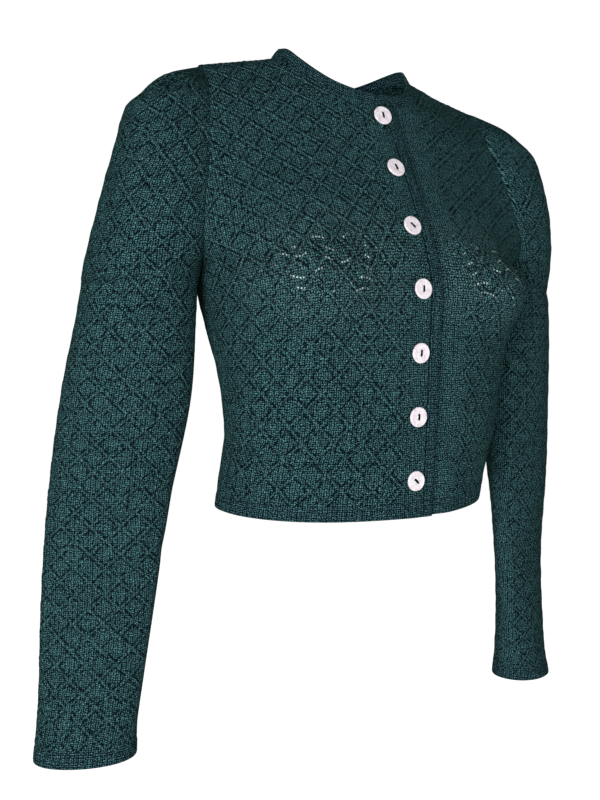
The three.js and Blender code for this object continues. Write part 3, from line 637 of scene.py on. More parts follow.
@dataclass(frozen=True)
class LozengeRelief:
    """Raised travelling stitches in a lozenge lattice, with a smaller lozenge in each.

    In a lozenge, m is the larger of the two diagonal distances from its middle, 0.5 at
    its border. Each ridge is its height times exp(-(distance from the ridge / width)^2).
    The hand's unevenness lowers it by up to twice its own share, in slow waves whose
    sway and turns in each mm are named.
    """

    size: float = 27.0
    ridge: float = 0.75
    ridge_width: float = 1.5
    nested: float = 0.35
    nested_at: float = 0.26
    nested_width: float = 1.3
    knot: float = 0.4
    knot_width: float = 2.0
    unevenness: float = 0.2
    along_turn: float = 0.11
    sway: float = 1.3
    sway_turn: float = 0.07
    upward_turn: float = 0.09
    upward_start: float = 0.5

    def height(self, u: Array, v: Array) -> Array:
        """Height of the relief in mm.

        Args:
            u: Distance along the row in mm.
            v: Height along the knitting in mm.

        Returns:
            An array of the same shape.
        """
        p = np.abs((u + v) / self.size % 1 - 0.5)
        q = np.abs((u - v) / self.size % 1 - 0.5)
        m = np.maximum(p, q)
        to_mm = self.size / np.sqrt(2)
        border = np.exp(-(((0.5 - m) * to_mm / self.ridge_width) ** 2))
        inner = np.exp(-(((m - self.nested_at) * to_mm / self.nested_width) ** 2))
        middle = np.exp(-((np.hypot(p, q) * to_mm / self.knot_width) ** 2))
        along = np.sin(self.along_turn * u + self.sway * np.sin(self.sway_turn * v))
        waves = along * np.cos(self.upward_turn * v + self.upward_start)
        uneven = 1 - self.unevenness + self.unevenness * waves
        return (self.ridge * border + self.nested * inner + self.knot * middle) * uneven


RELIEF = LozengeRelief()


# ------------------------------------------------------------------ meshes


def number_grid(shape: tuple[int, ...]) -> Array:
    """Numbers from 0 up, in rows and columns."""
    return np.arange(np.prod(shape)).reshape(shape)


def lathe_grid(shape: tuple[int, ...]) -> Array:
    """Vertex numbers of a closed form: its last column is its first, its ends points."""
    numbers = number_grid(shape)
    numbers[:, -1] = numbers[:, 0]
    numbers[0], numbers[-1] = numbers[0, 0], numbers[-1, 0]
    return numbers


def quads(values: Array, facing: int) -> Array:
    """Values at the corners of every quad of a grid, in the order that faces outwards.

    Args:
        values: A value for each grid point, (rows, columns) or (rows, columns, size).
        facing: 1 if the columns' direction crossed with the rows' faces outwards.

    Returns:
        The corners, (quads, 4) or (quads, 4, size).
    """
    corners = [values[:-1, :-1], values[:-1, 1:], values[1:, 1:], values[1:, :-1]]
    return np.stack(corners[::facing], axis=2).reshape(-1, 4, *values.shape[2:])


@dataclass
class Grid:
    """A surface on a grid of points, with its place in the knitting at each point.

    Patterned cloth has the pattern's share as a third column of the place. Where points
    are shared, numbers holds the vertex of each, counted over all the piece's grids.
    """

    points: Array
    lay: Array
    facing: int
    numbers: Array | None = None

    def corners(self) -> tuple[Array, Array]:
        """Vertex numbers, (quads, 4), and places at the corners of the quads."""
        numbers = number_grid(self.points.shape[:2]) if self.numbers is None else self.numbers
        return quads(numbers, self.facing), quads(self.lay, self.facing)


def knitted(
    points: Array, u: Array, v: Array, share: Array, facing: int, numbers: Array | None = None
) -> Grid:
    """Patterned cloth, raised by the relief.

    Args:
        points: Points of the plain cloth, (rows, columns, 3).
        u: Distances along the rows in mm.
        v: Heights along the knitting in mm.
        share: How much of the pattern shows.
        facing: 1 if the columns' direction crossed with the rows' faces outwards.
        numbers: Vertex numbers, where points are shared.

    Returns:
        The grid.
    """
    lay = np.stack(np.broadcast_arrays(u, v, share), axis=-1)
    across, upward = np.gradient(points, axis=1), np.gradient(points, axis=0)
    height = RELIEF.height(lay[..., 0], lay[..., 1]) * lay[..., 2]
    raised = points + facing * unit(np.cross(across, upward)) * height[..., None]
    return Grid(raised, lay, facing, numbers)


def before_seam(share: Array, width: float) -> Array:
    """1, falling to 0 over the last width before a share of 1."""
    return 1 - smoothstep(share, 1 - width, 1)


def link_mesh(name: str, points: Array, faces: list[list[int]]) -> bpy.types.Object:
    """Makes a smooth mesh object from points in metres and links it to the scene."""
    mesh = bpy.data.meshes.new(name)
    mesh.from_pydata(points.tolist(), [], faces)
    mesh.polygons.foreach_set("use_smooth", np.ones(len(mesh.polygons), bool))
    mesh.update()
    made = bpy.data.objects.new(name, mesh)
    bpy.context.scene.collection.objects.link(made)
    return made


def make_piece(name: str, points: Array, faces: list[list[int]], lay: Array) -> bpy.types.Object:
    """Makes a piece from points, faces and the knitting's place at every corner.

    Args:
        name: The piece's name.
        points: Points in mm, (count, 3).
        faces: Vertex numbers of each face.
        lay: Place in the knitting in mm at each face corner in turn, (corners, 2), with
            the pattern's share as a third column on patterned cloth.

    Returns:
        The piece, riding on the part's one body.
    """
    piece = link_mesh(name, points * MM, faces)
    maps = {"lay": lay[:, :2]}
    if lay.shape[1] > 2:
        maps["pattern"] = np.stack([lay[:, 2], np.zeros(len(lay))], axis=-1)
    for title, values in maps.items():
        layer = piece.data.uv_layers.new(name=title)
        layer.data.foreach_set("uv", np.ascontiguousarray(values, np.float32).ravel())
    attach(piece, "root")
    return piece


def piece_from_grids(name: str, grids: list[Grid]) -> bpy.types.Object:
    """Joins grids into one piece; points that share a number are one vertex.

    A quad two of whose neighbouring corners are one vertex becomes a triangle, and one
    that shrinks to a line is left out.
    """
    corners, places = (np.concatenate(part) for part in zip(*(g.corners() for g in grids)))
    points = np.concatenate([grid.points.reshape(-1, 3) for grid in grids])
    used, corners = np.unique(corners, return_inverse=True)
    corners = corners.reshape(-1, 4)
    keep = corners != np.roll(corners, -1, axis=1)
    whole = keep.all(axis=1)
    partly = (keep.sum(axis=1) >= 3) & ~whole
    faces = corners[whole].tolist()
    faces += [row[ok].tolist() for row, ok in zip(corners[partly], keep[partly])]
    lay = [places[whole].reshape(-1, places.shape[-1]), places[partly][keep[partly]]]
    return make_piece(name, points[used], faces, np.concatenate(lay))


@dataclass(frozen=True)
class BandProfile:
    """Closed cross-section of a knitted border: a rounded bar with ribs on its face.

    Round the section the angle a gives across = |cos a|^p and depth = |sin a|^q with
    their signs, p and q well below 1 so that the sides are nearly flat. A rib along the
    border is rib_height times 0.5 + 0.5 cos(2 pi across ribs) high, beaded by a second
    cosine; upright ribs follow the cosine of along over their spacing instead.
    """

    thickness: float = 2.4
    ribs: float = 4.0
    upright_ribs: float = 0.0
    rib_height: float = 0.22
    proud: float = 0.25
    points: int = 40
    across_power: float = 0.48
    depth_power: float = 0.3
    face_from: tuple[float, float] = (0.2, 0.6)
    bead_length: float = 2.3
    bead_depth: float = 0.25
    upright_bead_depth: float = 0.1

    def section(self) -> tuple[Array, Array, Array]:
        """Across from 0 to 1, depth below the face in mm, and 1 on the outer face."""
        angle = np.linspace(0, TURN, self.points, endpoint=False)
        cos, sin = np.cos(angle), np.sin(angle)
        across = 0.5 + 0.5 * np.sign(cos) * np.abs(cos) ** self.across_power
        depth = 0.5 - 0.5 * np.sign(sin) * np.abs(sin) ** self.depth_power
        return across, depth * self.thickness - self.proud, smoothstep(sin, *self.face_from)

    def lift(self, along: Array, across: Array) -> Array:
        """Height of the ribs in mm, for places along in rows and across in columns."""
        ribs = np.cos(TURN * across * self.ribs)[None]
        if self.upright_ribs:
            rib, bead = np.cos(TURN * along / self.upright_ribs)[:, None], ribs
            deep = self.upright_bead_depth
        else:
            rib, bead = ribs, np.cos(TURN * along / self.bead_length)[:, None]
            deep = self.bead_depth
        return self.rib_height * (0.5 + 0.5 * rib) * (1 - deep + deep * bead)


def band_piece(
    name: str,
    surface: Surface,
    along: Array,
    width: float,
    facing: int,
    profile: BandProfile,
    closed: bool = False,
) -> bpy.types.Object:
    """Carries a border's section along a strip of the garment.

    Every point is the strip's surface point minus its depth times the surface's normal.

    Args:
        name: The piece's name.
        surface: Gives (along, across, 3) points for along in mm and across from 0 to 1.
        along: Places along the strip in mm, (count,).
        width: Width of the strip in mm.
        facing: 1 if along crossed with across faces outwards.
        profile: The section.
        closed: Whether the strip closes on itself.

    Returns:
        The new piece.
    """
    across, depth, outer = profile.section()
    flat = surface(along, across)
    toward = surface(along, across + NORMAL_STEP) - flat
    run = np.gradient(flat, axis=0)
    if closed:
        run = np.roll(flat, -1, axis=0) - np.roll(flat, 1, axis=0)
    normal = facing * unit(np.cross(run, toward))
    points = flat + normal * (profile.lift(along, across) * outer - depth)[..., None]
    own = number_grid(points.shape[:2])
    places = np.stack(np.broadcast_arrays(along[:, None], across * width), axis=-1)
    numbers = np.concatenate([own, own[:, :1]], axis=1)
    places = np.concatenate([places, places[:, :1]], axis=1)
    if closed:
        whole = along[-1] - along[0] + (along[1] - along[0])
        numbers = np.concatenate([numbers, numbers[:1]])
        places = np.concatenate([places, places[:1] + (whole, 0)])
    faces = quads(numbers.swapaxes(0, 1), facing).tolist()
    lay = [quads(places.swapaxes(0, 1), facing).reshape(-1, 2)]
    if not closed:
        for end, way in ((0, facing), (-1, -facing)):
            faces.append(own[end][::way].tolist())
            lay.append(places[end, :-1][::way])
    return make_piece(name, points.reshape(-1, 3), faces, np.concatenate(lay))


# ------------------------------------------------------------------ cloth pieces


@dataclass
class ClothPiece:
    """A knitted piece of the garment: its name, its grids and its flat cut in metres."""

    name: str
    grids: list[Grid]
    flat: tuple[float, float]
    area: float
    thickness: float = 2.0

    def build(self) -> bpy.types.Object:
        """Makes the piece and gives it its wall, inwards from its outer face."""
        piece = piece_from_grids(self.name, self.grids)
        wall = piece.modifiers.new("wall", "SOLIDIFY")
        wall.thickness = self.thickness * MM
        wall.offset = -1
        wall.use_even_offset = False
        return piece


def spread(start: Array, reach: Array, columns: int) -> tuple[Array, Array]:
    """Even columns from each row's start to its reach: their shares and distances."""
    share = np.linspace(0, 1, columns)[None]
    return share, start[:, None] + share * (reach - start)[:, None]


@dataclass
class Trunk:
    """The two fronts and the back, from the hem seam up to the shoulder seams."""

    row_step: float = 2.0
    front_columns: int = 96
    back_columns: int = 82
    plain_at_buttons: float = 11.0
    pattern_starts: tuple[float, float] = (-6.0, 3.0)
    seam_share: float = 0.03

    def front(self, side: Side) -> ClothPiece:
        """One front, open at its border, neckline, armhole, side and hem seams."""
        level = BODY.even_levels(BODY.hem_seam_level, self.row_step)
        start = np.where(level <= BODY.neck_level, LAP.band_seam, FRONT.start(level))
        share, distance = spread(start, FRONT.reach(level), self.front_columns)
        plain_to = LAP.level_again if side is Side.LEFT else self.plain_at_buttons
        pattern = smoothstep(np.abs(distance) - plain_to, *self.pattern_starts)
        pattern = pattern * before_seam(share, self.seam_share)
        pattern = pattern * before_seam(1 - share, self.seam_share)
        height = BODY.stitch_height(level)[:, None]
        points = LAP.front(level, distance, side)
        grid = knitted(points, distance, height, pattern, side.value)
        return ClothPiece(f"cloth_front_{side.word}", [grid], flat=(0.215, 0.43), area=0.081)

    def back(self) -> ClothPiece:
        """The back, both halves joined down the centre line below the neck."""
        level = BODY.even_levels(BODY.hem_seam_level, self.row_step)
        joined = level <= BODY.back_neck_level
        start = BACK.start(level) * ~joined
        share, distance = spread(start, BACK.reach(level), self.back_columns)
        height = BODY.stitch_height(level)[:, None]
        pattern = before_seam(share, self.seam_share)
        grids = []
        for side in Side:
            out = side.value
            numbers = number_grid(distance.shape)
            if side is Side.LEFT:
                numbers += distance.size
                numbers[joined, 0] -= distance.size
            points = BACK.points(level, distance, out)
            grids.append(knitted(points, out * distance, height, pattern, -out, numbers))
        return ClothPiece("cloth_back", grids, flat=(0.42, 0.44), area=0.165)


@dataclass
class Sleeve:
    """One sleeve, from the cuff seam to the tip at the shoulder seam."""

    side: Side
    row_step: float = 2.2
    columns: int = 136
    seam_share: float = 0.045
    plain_tip: float = 14.0

    def grid(self) -> Grid:
        """Rings, a few rows that lead into the head, and the head, as one grid."""
        form, half_lozenge = SleeveForm(self.side), BODY.half_lozenge
        ring_step = (form.underarm_ring - form.bottom) / form.ring_rows
        last_ring = form.underarm_ring - ring_step
        z = np.linspace(form.bottom, last_ring, int((last_ring - form.bottom) / self.row_step) + 1)
        across = np.linspace(0, 1, self.columns)[None]
        share = np.broadcast_to(across, (len(z), self.columns))
        rings = form.rings(z, share)
        ring_u = (2 * share - 1) * form.ring_length(z)[:, None] / 2
        ring_v = (z - form.bottom) / ring_step * half_lozenge
        level = BODY.even_levels(BODY.underarm_level, self.row_step)
        head, head_u = form.head(level, self.columns)
        height = BODY.stitch_height(level)
        head_v = form.ring_rows * half_lozenge + height - height[0]
        lead = np.linspace(0, 1, int(ring_step / self.row_step) + 2)[1:-1]
        lead_v = (form.ring_rows - 1 + lead) * half_lozenge
        lead_points = blend(rings[-1:], head[:1], lead[:, None, None])
        points = np.concatenate([rings, lead_points, head])
        u = np.concatenate([ring_u, blend(ring_u[-1:], head_u[:1], lead[:, None]), head_u])
        v = np.concatenate([ring_v, lead_v, head_v])
        pattern = before_seam(across, self.seam_share) * before_seam(1 - across, self.seam_share)
        pattern = pattern * (1 - smoothstep(v, v[-1] - self.plain_tip, v[-1]))[:, None]
        numbers = number_grid(u.shape)
        closed = len(rings) + len(lead)
        numbers[:closed, -1] = numbers[:closed, 0]
        numbers[-1] = numbers[-1, 0]
        return knitted(points, u, v[:, None], pattern, self.side.value, numbers)

    def piece(self) -> ClothPiece:
        """The sleeve as a cloth piece."""
        name = f"cloth_sleeve_{self.side.word}"
        return ClothPiece(name, [self.grid()], flat=(0.33, 0.63), area=0.145)


# ------------------------------------------------------------------ borders


@dataclass
class Borders:
    """The ribbed borders: front edges, hem, neck and cuffs."""

    grain: float = 0.6
    neck_rise: float = 10.5
    neck_lean: float = 0.09
    neck_centre: tuple[float, float] = (0.0, -2.0)
    front_profile: BandProfile = BandProfile(ribs=4)
    hem_profile: BandProfile = BandProfile(ribs=6, upright_ribs=3.0, rib_height=0.4, points=32)
    neck_profile: BandProfile = BandProfile(ribs=3, points=36)

    def front(self, side: Side) -> bpy.types.Object:
        """Border along one front edge, from the hem edge to the neck seam."""
        fine = np.linspace(0, BODY.neck_level, 1201)
        run = run_along(LAP.front(fine, np.full((len(fine), 1), -LAP.lap), side)[:, 0])

        def surface(place: Array, across: Array) -> Array:
            """Strip from the free edge to the border's seam."""
            distance = np.broadcast_to(across * LAP.band - LAP.lap, (len(place), len(across)))
            return LAP.front(np.interp(place, run, fine), distance, side)

        name, along = f"border_front_{side.word}", np.arange(0, run[-1], self.grain)
        return band_piece(name, surface, along, LAP.band, -side.value, self.front_profile)

    def hem_front(self, side: Side) -> bpy.types.Object:
        """Hem border under one front."""
        seam, edge = FRONT.reach(np.array([BODY.hem_seam_level, 0.0]))
        along = np.append(np.arange(LAP.band_seam, seam, self.grain), seam)

        def surface(place: Array, across: Array) -> Array:
            """Strip from the hem edge up to the hem seam."""
            stretch = np.where(place > 0, edge / seam, 1)
            distance = place * blend(stretch, 1, across[:, None])
            points = LAP.front(across * BODY.hem_seam_level, distance, side)
            return points.swapaxes(0, 1)

        name = f"border_hem_front_{side.word}"
        return band_piece(name, surface, along, BODY.hem_height, side.value, self.hem_profile)

    def hem_back(self) -> bpy.types.Object:
        """Hem border under the back."""
        seam, edge = BACK.reach(np.array([BODY.hem_seam_level, 0.0]))
        along = np.linspace(-seam, seam, int(2 * seam / self.grain))

        def surface(place: Array, across: Array) -> Array:
            """Strip from the hem edge up to the hem seam."""
            distance = np.abs(place) * blend(edge / seam, 1, across[:, None])
            side = np.where(place < 0, -1, 1)
            return BACK.points(across * BODY.hem_seam_level, distance, side).swapaxes(0, 1)

        return band_piece("border_hem_back", surface, along, BODY.hem_height, -1, self.hem_profile)

    def cuff(self, side: Side) -> bpy.types.Object:
        """Cuff border under a sleeve."""
        form = SleeveForm(side)
        length = float(form.ring_length(np.array([form.cuff_edge]))[0])
        along = np.linspace(0, length, int(length / self.grain), endpoint=False)

        def surface(place: Array, across: Array) -> Array:
            """Strip from the cuff's edge up to its seam."""
            share = np.broadcast_to(place / length % 1, (len(across), len(place)))
            return form.rings(form.cuff_edge + across * form.cuff_band, share).swapaxes(0, 1)

        name, facing = f"border_cuff_{side.word}", side.value
        return band_piece(name, surface, along, form.cuff_band, facing, self.hem_profile, closed=True)

    def neckline(self) -> Array:
        """The neck seam from the lapping end over the back to the end beneath it."""
        level = np.linspace(BODY.neck_level, 1, 121)
        back_level = np.linspace(BODY.back_neck_level, 1, 101)
        lap_level = np.interp(np.linspace(LAP.lap, 0, 12), FRONT.start(level), level)
        parts = []
        for face, levels, side, beneath in (
            (FRONT, lap_level, 1, False),
            (FRONT, level[1:], -1, False),
            (BACK, back_level[::-1][1:], -1, False),
            (BACK, back_level[1:], 1, False),
            (FRONT, level[::-1][1:], 1, True),
            (FRONT, lap_level[::-1][1:], -1, True),
        ):
            distance = face.start(levels)
            points = face.points(levels, distance[:, None], side)[:, 0]
            if beneath:
                points[:, 1] += LAP.push(distance)
            parts.append(points)
        return np.concatenate(parts)

    def neck(self) -> bpy.types.Object:
        """The neckband."""
        seam = self.neckline()
        run = run_along(seam)
        along = np.arange(0, run[-1], self.grain)

        def surface(place: Array, across: Array) -> Array:
            """Strip from the neck seam up to the free edge."""
            lower = np.stack([np.interp(place, run, seam[:, k]) for k in range(3)], axis=-1)
            upper = lower + (0, 0, self.neck_rise)
            upper[:, :2] -= self.neck_lean * (lower[:, :2] - self.neck_centre)
            return blend(lower[:, None], upper[:, None], across[None, :, None])

        return band_piece("border_neck", surface, along, self.neck_rise, -1, self.neck_profile)


# ------------------------------------------------------------------ buttons


@dataclass(frozen=True)
class ButtonSizes:
    """A two-hole shell button and the yarn that sews it on."""

    radius: float = 9.2
    thickness: float = 2.4
    seat: float = 0.7
    dish: float = 0.25
    hole_radius: float = 1.05
    hole_offset: float = 2.0
    hole_depth: float = 1.5
    hole_edge: tuple[float, float] = (-0.25, 0.2)
    columns: int = 56
    rim_rows: int = 9
    back_rows: int = 5
    face_rows: int = 25
    yarn_length: float = 6.0
    yarn_width: float = 2.1
    yarn_flatness: float = 0.42
    yarn_roundness: float = 0.45
    yarn_lift: float = 0.2
    strand_depth: float = 0.1
    strand_twist: float = 5.0


@dataclass
class Buttons:
    """The row of buttons down the centre front, each with its turn in degrees."""

    heights: tuple[float, ...] = (-47.4, -98.4, -153.4, -210, -266.5, -323.7, -381.7)
    turns: tuple[float, ...] = (0, 14, 42, -4, -3, 0, 48)
    sizes: ButtonSizes = ButtonSizes()

    def seat_frame(self, z: float, degrees: float) -> tuple[Array, Array]:
        """Where a button sits.

        Args:
            z: Height of its middle.
            degrees: Its turn about its outward direction.

        Returns:
            The middle of its back, and its across, up and outward directions as rows.
        """
        fine = np.linspace(0, BODY.neck_level, 801)
        centre = LAP.front(fine, np.zeros((len(fine), 1)), Side.RIGHT)[:, 0]
        level = float(np.interp(z, centre[:, 2], fine))
        levels = level + NORMAL_STEP * np.array([-1, 0, 1])
        distance = np.tile([-self.sizes.radius, 0, self.sizes.radius], (3, 1))
        near = LAP.front(levels, distance, Side.RIGHT)
        across = unit(near[1, 0] - near[1, 2])
        outward = unit(np.cross(across, near[2, 1] - near[0, 1]))
        angle = np.radians(degrees)
        across = across * np.cos(angle) + np.cross(outward, across) * np.sin(angle)
        up = np.cross(outward, across)
        return near[1, 1] + outward * self.sizes.seat, np.stack([across, up, outward])

    def mount(self, name: str, number: int, local: Array, lay: Array, facing: int) -> bpy.types.Object:
        """Makes a closed piece from points in a button's across, up and outward sizes."""
        base, axes = self.seat_frame(self.heights[number - 1], self.turns[number - 1])
        numbers = lathe_grid(local.shape[:2])
        return piece_from_grids(name, [Grid(base + local @ axes, lay, facing, numbers)])

    def shell(self, number: int) -> bpy.types.Object:
        """The button's disc, turned on a lathe and sunk at its two holes.

        The face is a shallow dish, dish (1 - (r / R)^2) deep, and each hole sinks it by
        hole_depth where the distance to the hole's middle is small.
        """
        s = self.sizes
        rim = np.linspace(-np.pi / 2, np.pi / 2, s.rim_rows)
        bevel = s.thickness / 2
        flat = s.radius - bevel
        back = np.linspace(0, flat, s.back_rows + 1)[:-1]
        face = np.linspace(flat, 0, s.face_rows + 1)[1:]
        radius = np.concatenate([back, flat + bevel * np.cos(rim), face])[:, None]
        level = np.concatenate([0 * back, bevel + bevel * np.sin(rim), 0 * face + s.thickness])
        angle = np.linspace(0, TURN, s.columns + 1)
        x, y = radius * np.cos(angle), radius * np.sin(angle)
        holes = np.zeros_like(x)
        for offset in (-s.hole_offset, s.hole_offset):
            holes += 1 - smoothstep(np.hypot(x, y - offset) - s.hole_radius, *s.hole_edge)
        sunk = s.dish * (1 - (radius / s.radius) ** 2) + s.hole_depth * np.minimum(holes, 1)
        on_face = np.arange(len(radius)) >= s.back_rows + s.rim_rows
        local = np.stack([x, y, level[:, None] - on_face[:, None] * sunk], axis=-1)
        lay = np.stack([x + LAY_SHIFT * number, y], axis=-1)
        return self.mount(f"button_shell_{number}", number, local, lay, 1)

    def yarn(self, number: int) -> bpy.types.Object:
        """The stitch of yarn across the two holes: a flattened bar with round ends."""
        s = self.sizes
        t = np.linspace(0, np.pi, 15)[:, None]
        angle = np.linspace(0, TURN, 17)
        along = -np.cos(t) * s.yarn_length / 2 * np.ones_like(angle)
        girth = np.sin(t) ** s.yarn_roundness * s.yarn_width / 2
        strand = girth * (1 + s.strand_depth * np.cos(2 * angle + s.strand_twist * t))
        out = s.thickness - s.dish + s.yarn_lift + strand * np.sin(angle) * s.yarn_flatness
        local = np.stack([strand * np.cos(angle), along, out], axis=-1)
        lay = np.stack([along, girth * angle], axis=-1)
        return self.mount(f"button_yarn_{number}", number, local, lay, -1)


# ------------------------------------------------------------------ shader graphs


@dataclass(frozen=True, eq=False)
class Signal:
    """One value on its way through a graph; reckoning with it adds Math nodes."""

    graph: "Graph"
    socket: bpy.types.NodeSocket

    def __add__(self, other: object) -> "Signal":
        """The sum."""
        return self.graph.math("ADD", self, other)

    def __sub__(self, other: object) -> "Signal":
        """This less another."""
        return self.graph.math("SUBTRACT", self, other)

    def __rsub__(self, other: float) -> "Signal":
        """A number less this."""
        return self.graph.math("SUBTRACT", other, self)

    def __mul__(self, other: object) -> "Signal":
        """The product."""
        return self.graph.math("MULTIPLY", self, other)

    def __truediv__(self, other: object) -> "Signal":
        """This over another."""
        return self.graph.math("DIVIDE", self, other)

    def __pow__(self, power: float) -> "Signal":
        """This to a power."""
        return self.graph.math("POWER", self, power)


class Graph:
    """Adds nodes to a node tree and links them by their sockets."""

    def __init__(self, tree: bpy.types.NodeTree) -> None:
        """Starts on a material's, a world's or a group's tree."""
        self.tree = tree

    def node(self, kind: str, inputs: dict | None = None, **settings: object) -> bpy.types.Node:
        """Adds a node.

        Args:
            kind: The node's type.
            inputs: A value or a signal for each input.
            **settings: The node's own settings.

        Returns:
            The node.
        """
        made = self.tree.nodes.new(kind)
        for name, value in settings.items():
            setattr(made, name, value)
        self.feed(made, inputs or {})
        return made

    def feed(self, node: bpy.types.Node, inputs: dict) -> None:
        """Links a node's inputs to signals, or sets their values."""
        for name, value in inputs.items():
            if isinstance(value, Signal):
                self.tree.links.new(value.socket, node.inputs[name])
            else:
                node.inputs[name].default_value = value

    def signal(
        self, kind: str, output: str | int, inputs: dict | None = None, **settings: object
    ) -> Signal:
        """Adds a node and gives one of its outputs."""
        return Signal(self, self.node(kind, inputs, **settings).outputs[output])

    def math(self, operation: str, *values: object) -> Signal:
        """A Math node's result."""
        return self.signal("ShaderNodeMath", 0, dict(enumerate(values)), operation=operation)

    def vector(self, operation: str, inputs: dict) -> Signal:
        """A Vector Math node's result."""
        return self.signal("ShaderNodeVectorMath", 0, inputs, operation=operation)

    def ramp(self, value: Signal, start: float, end: float) -> Signal:
        """Smooth step of a value from 0 at start to 1 at end."""
        inputs = {"Value": value, "From Min": start, "From Max": end}
        return self.signal("ShaderNodeMapRange", "Result", inputs, interpolation_type="SMOOTHSTEP")

    def mix(self, share: Signal, first: object, second: object) -> Signal:
        """A colour between two, by a share."""
        return self.signal("ShaderNodeMix", 2, {0: share, 6: first, 7: second}, data_type="RGBA")

    def noise(self, place: Signal, scale: float, detail: float, output: str = "Fac") -> Signal:
        """Noise from 0 to 1 at a scale, in waves for each mm."""
        inputs = {"Vector": place, "Scale": scale, "Detail": detail}
        return self.signal("ShaderNodeTexNoise", output, inputs)

    def split(self, place: Signal) -> tuple[Signal, Signal]:
        """The x and the y of a place."""
        parts = self.node("ShaderNodeSeparateXYZ", {0: place}).outputs
        return Signal(self, parts[0]), Signal(self, parts[1])

    def map(self, name: str) -> Signal:
        """A UV map's place."""
        return self.signal("ShaderNodeUVMap", 0, uv_map=name)

    def group(self, name: str, inputs: dict) -> dict[str, Signal]:
        """Adds a node group and gives its outputs by name."""
        made = self.node("ShaderNodeGroup", inputs, node_tree=GROUPS[name])
        return {socket.name: Signal(self, socket) for socket in made.outputs}


def lozenge_lattice(graph: Graph, place: Signal, size: Signal, width: Signal) -> tuple[Signal, ...]:
    """Masks of a lattice of lozenges: ridges, nested ridges, middles and grooves.

    Each is exp(-(distance / its own width)^2), the widths being shares of the ridges'.
    """
    nested_width, middle_width, groove_at, groove_width = 0.8, 1.4, 1.7, 0.55
    u, v = graph.split(place)
    p, q = (graph.math("ABSOLUTE", graph.math("FRACT", w / size) - 0.5) for w in (u + v, u - v))
    m = graph.math("MAXIMUM", p, q)
    to_mm = size * SQRT_HALF

    def bell(away: Signal, share: float) -> Signal:
        """exp(-(away / (share width))^2)."""
        ratio = away / (width * share)
        return graph.math("EXPONENT", ratio * ratio * -1.0)

    from_border = (0.5 - m) * to_mm
    from_middle = graph.math("SQRT", p**2.0 + q**2.0) * to_mm
    nested = bell((m - RELIEF.nested_at) * to_mm, nested_width)
    # The groove mask sinks the bump and also carries the painted shadow beside each ridge.
    groove = bell(from_border - width * groove_at, groove_width)
    return bell(from_border, 1.0), nested, bell(from_middle, middle_width), groove


def knit_stitches(graph: Graph, place: Signal, width: Signal, height: Signal) -> tuple[Signal, ...]:
    """Knit stitches in columns of Vs: their height and each loop's own shade."""
    slant, leg_edge = 1.3, (0.04, 0.2)
    x, y = graph.split(place)
    u = x / width
    half = graph.math("ABSOLUTE", graph.math("FRACT", u) - 0.5)
    slanted = y / height - half * slant
    loops = graph.math("SINE", slanted * TURN) * 0.5 + 0.5
    column = 1.0 - (half * 2.0) ** 4.0
    relief = loops * (column * graph.ramp(half, *leg_edge))
    cell = {0: graph.math("FLOOR", u), 1: graph.math("FLOOR", slanted)}
    vector = graph.signal("ShaderNodeCombineXYZ", 0, cell)
    return relief, graph.signal("ShaderNodeTexWhiteNoise", "Value", {"Vector": vector})


def wool_yarn(graph: Graph, place: Signal, shake: Signal) -> tuple[Signal, ...]:
    """Woolly yarn: the place moved by up to half the shake, fine speckle, broad mottle."""
    wander_scale, speckle_scale, mottle_scale = 0.35, 0.95, 0.03
    rough = graph.noise(place, wander_scale, 2.0, "Color")
    centred = graph.vector("SUBTRACT", {0: rough, 1: (0.5, 0.5, 0.5)})
    moved = graph.vector("SCALE", {0: centred, "Scale": shake})
    shaken = graph.vector("ADD", {0: place, 1: moved})
    return shaken, graph.noise(place, speckle_scale, 1.0), graph.noise(place, mottle_scale, 2.0)


def open_stitches(
    graph: Graph, place: Signal, middle_u: Signal, middle_v: Signal, half_u: Signal, half_v: Signal
) -> tuple[Signal]:
    """Mask of opened stitches in an ellipse: short wavy rows of dots, and lone glints.

    Lengths are in mm, row_edge is in shares of the rows' spacing, and the ellipse's
    edges are in squares of the share of its radius.
    """
    wave_length, wave_height, spacing, stitch = 36, 2.5, 7.5, 2.7
    row_edge, dot_edge, inside_edge, around_edge = (0.05, 0.1), (-0.3, 0.4), (0.6, 1.0), (0.5, 5.0)
    patch_scale, patch_edge = 0.08, (0.52, 0.58)
    glint_scale, glint_edge, glint_strength = 1.1, (0.68, 0.76), 0.3
    u, v = graph.split(place)
    away = ((u - middle_u) / half_u) ** 2.0 + ((v - middle_v) / half_v) ** 2.0
    wave = graph.math("SINE", u * (TURN / wave_length)) * wave_height
    from_row = graph.math("ABSOLUTE", graph.math("FRACT", (wave + v) / spacing) - 0.5)
    on_row = 1.0 - graph.ramp(from_row, *row_edge)
    dots = graph.ramp(graph.math("COSINE", u * (TURN / stitch)), *dot_edge)
    patches = graph.ramp(graph.noise(place, patch_scale, 1.0), *patch_edge)
    rows = on_row * dots * (patches * (1.0 - graph.ramp(away, *inside_edge)))
    glints = graph.ramp(graph.noise(place, glint_scale, 0.0), *glint_edge)
    lone = glints * (1.0 - graph.ramp(away, *around_edge)) * glint_strength
    return (graph.math("MAXIMUM", rows, lone),)


FLOAT, VECTOR = "NodeSocketFloat", "NodeSocketVector"


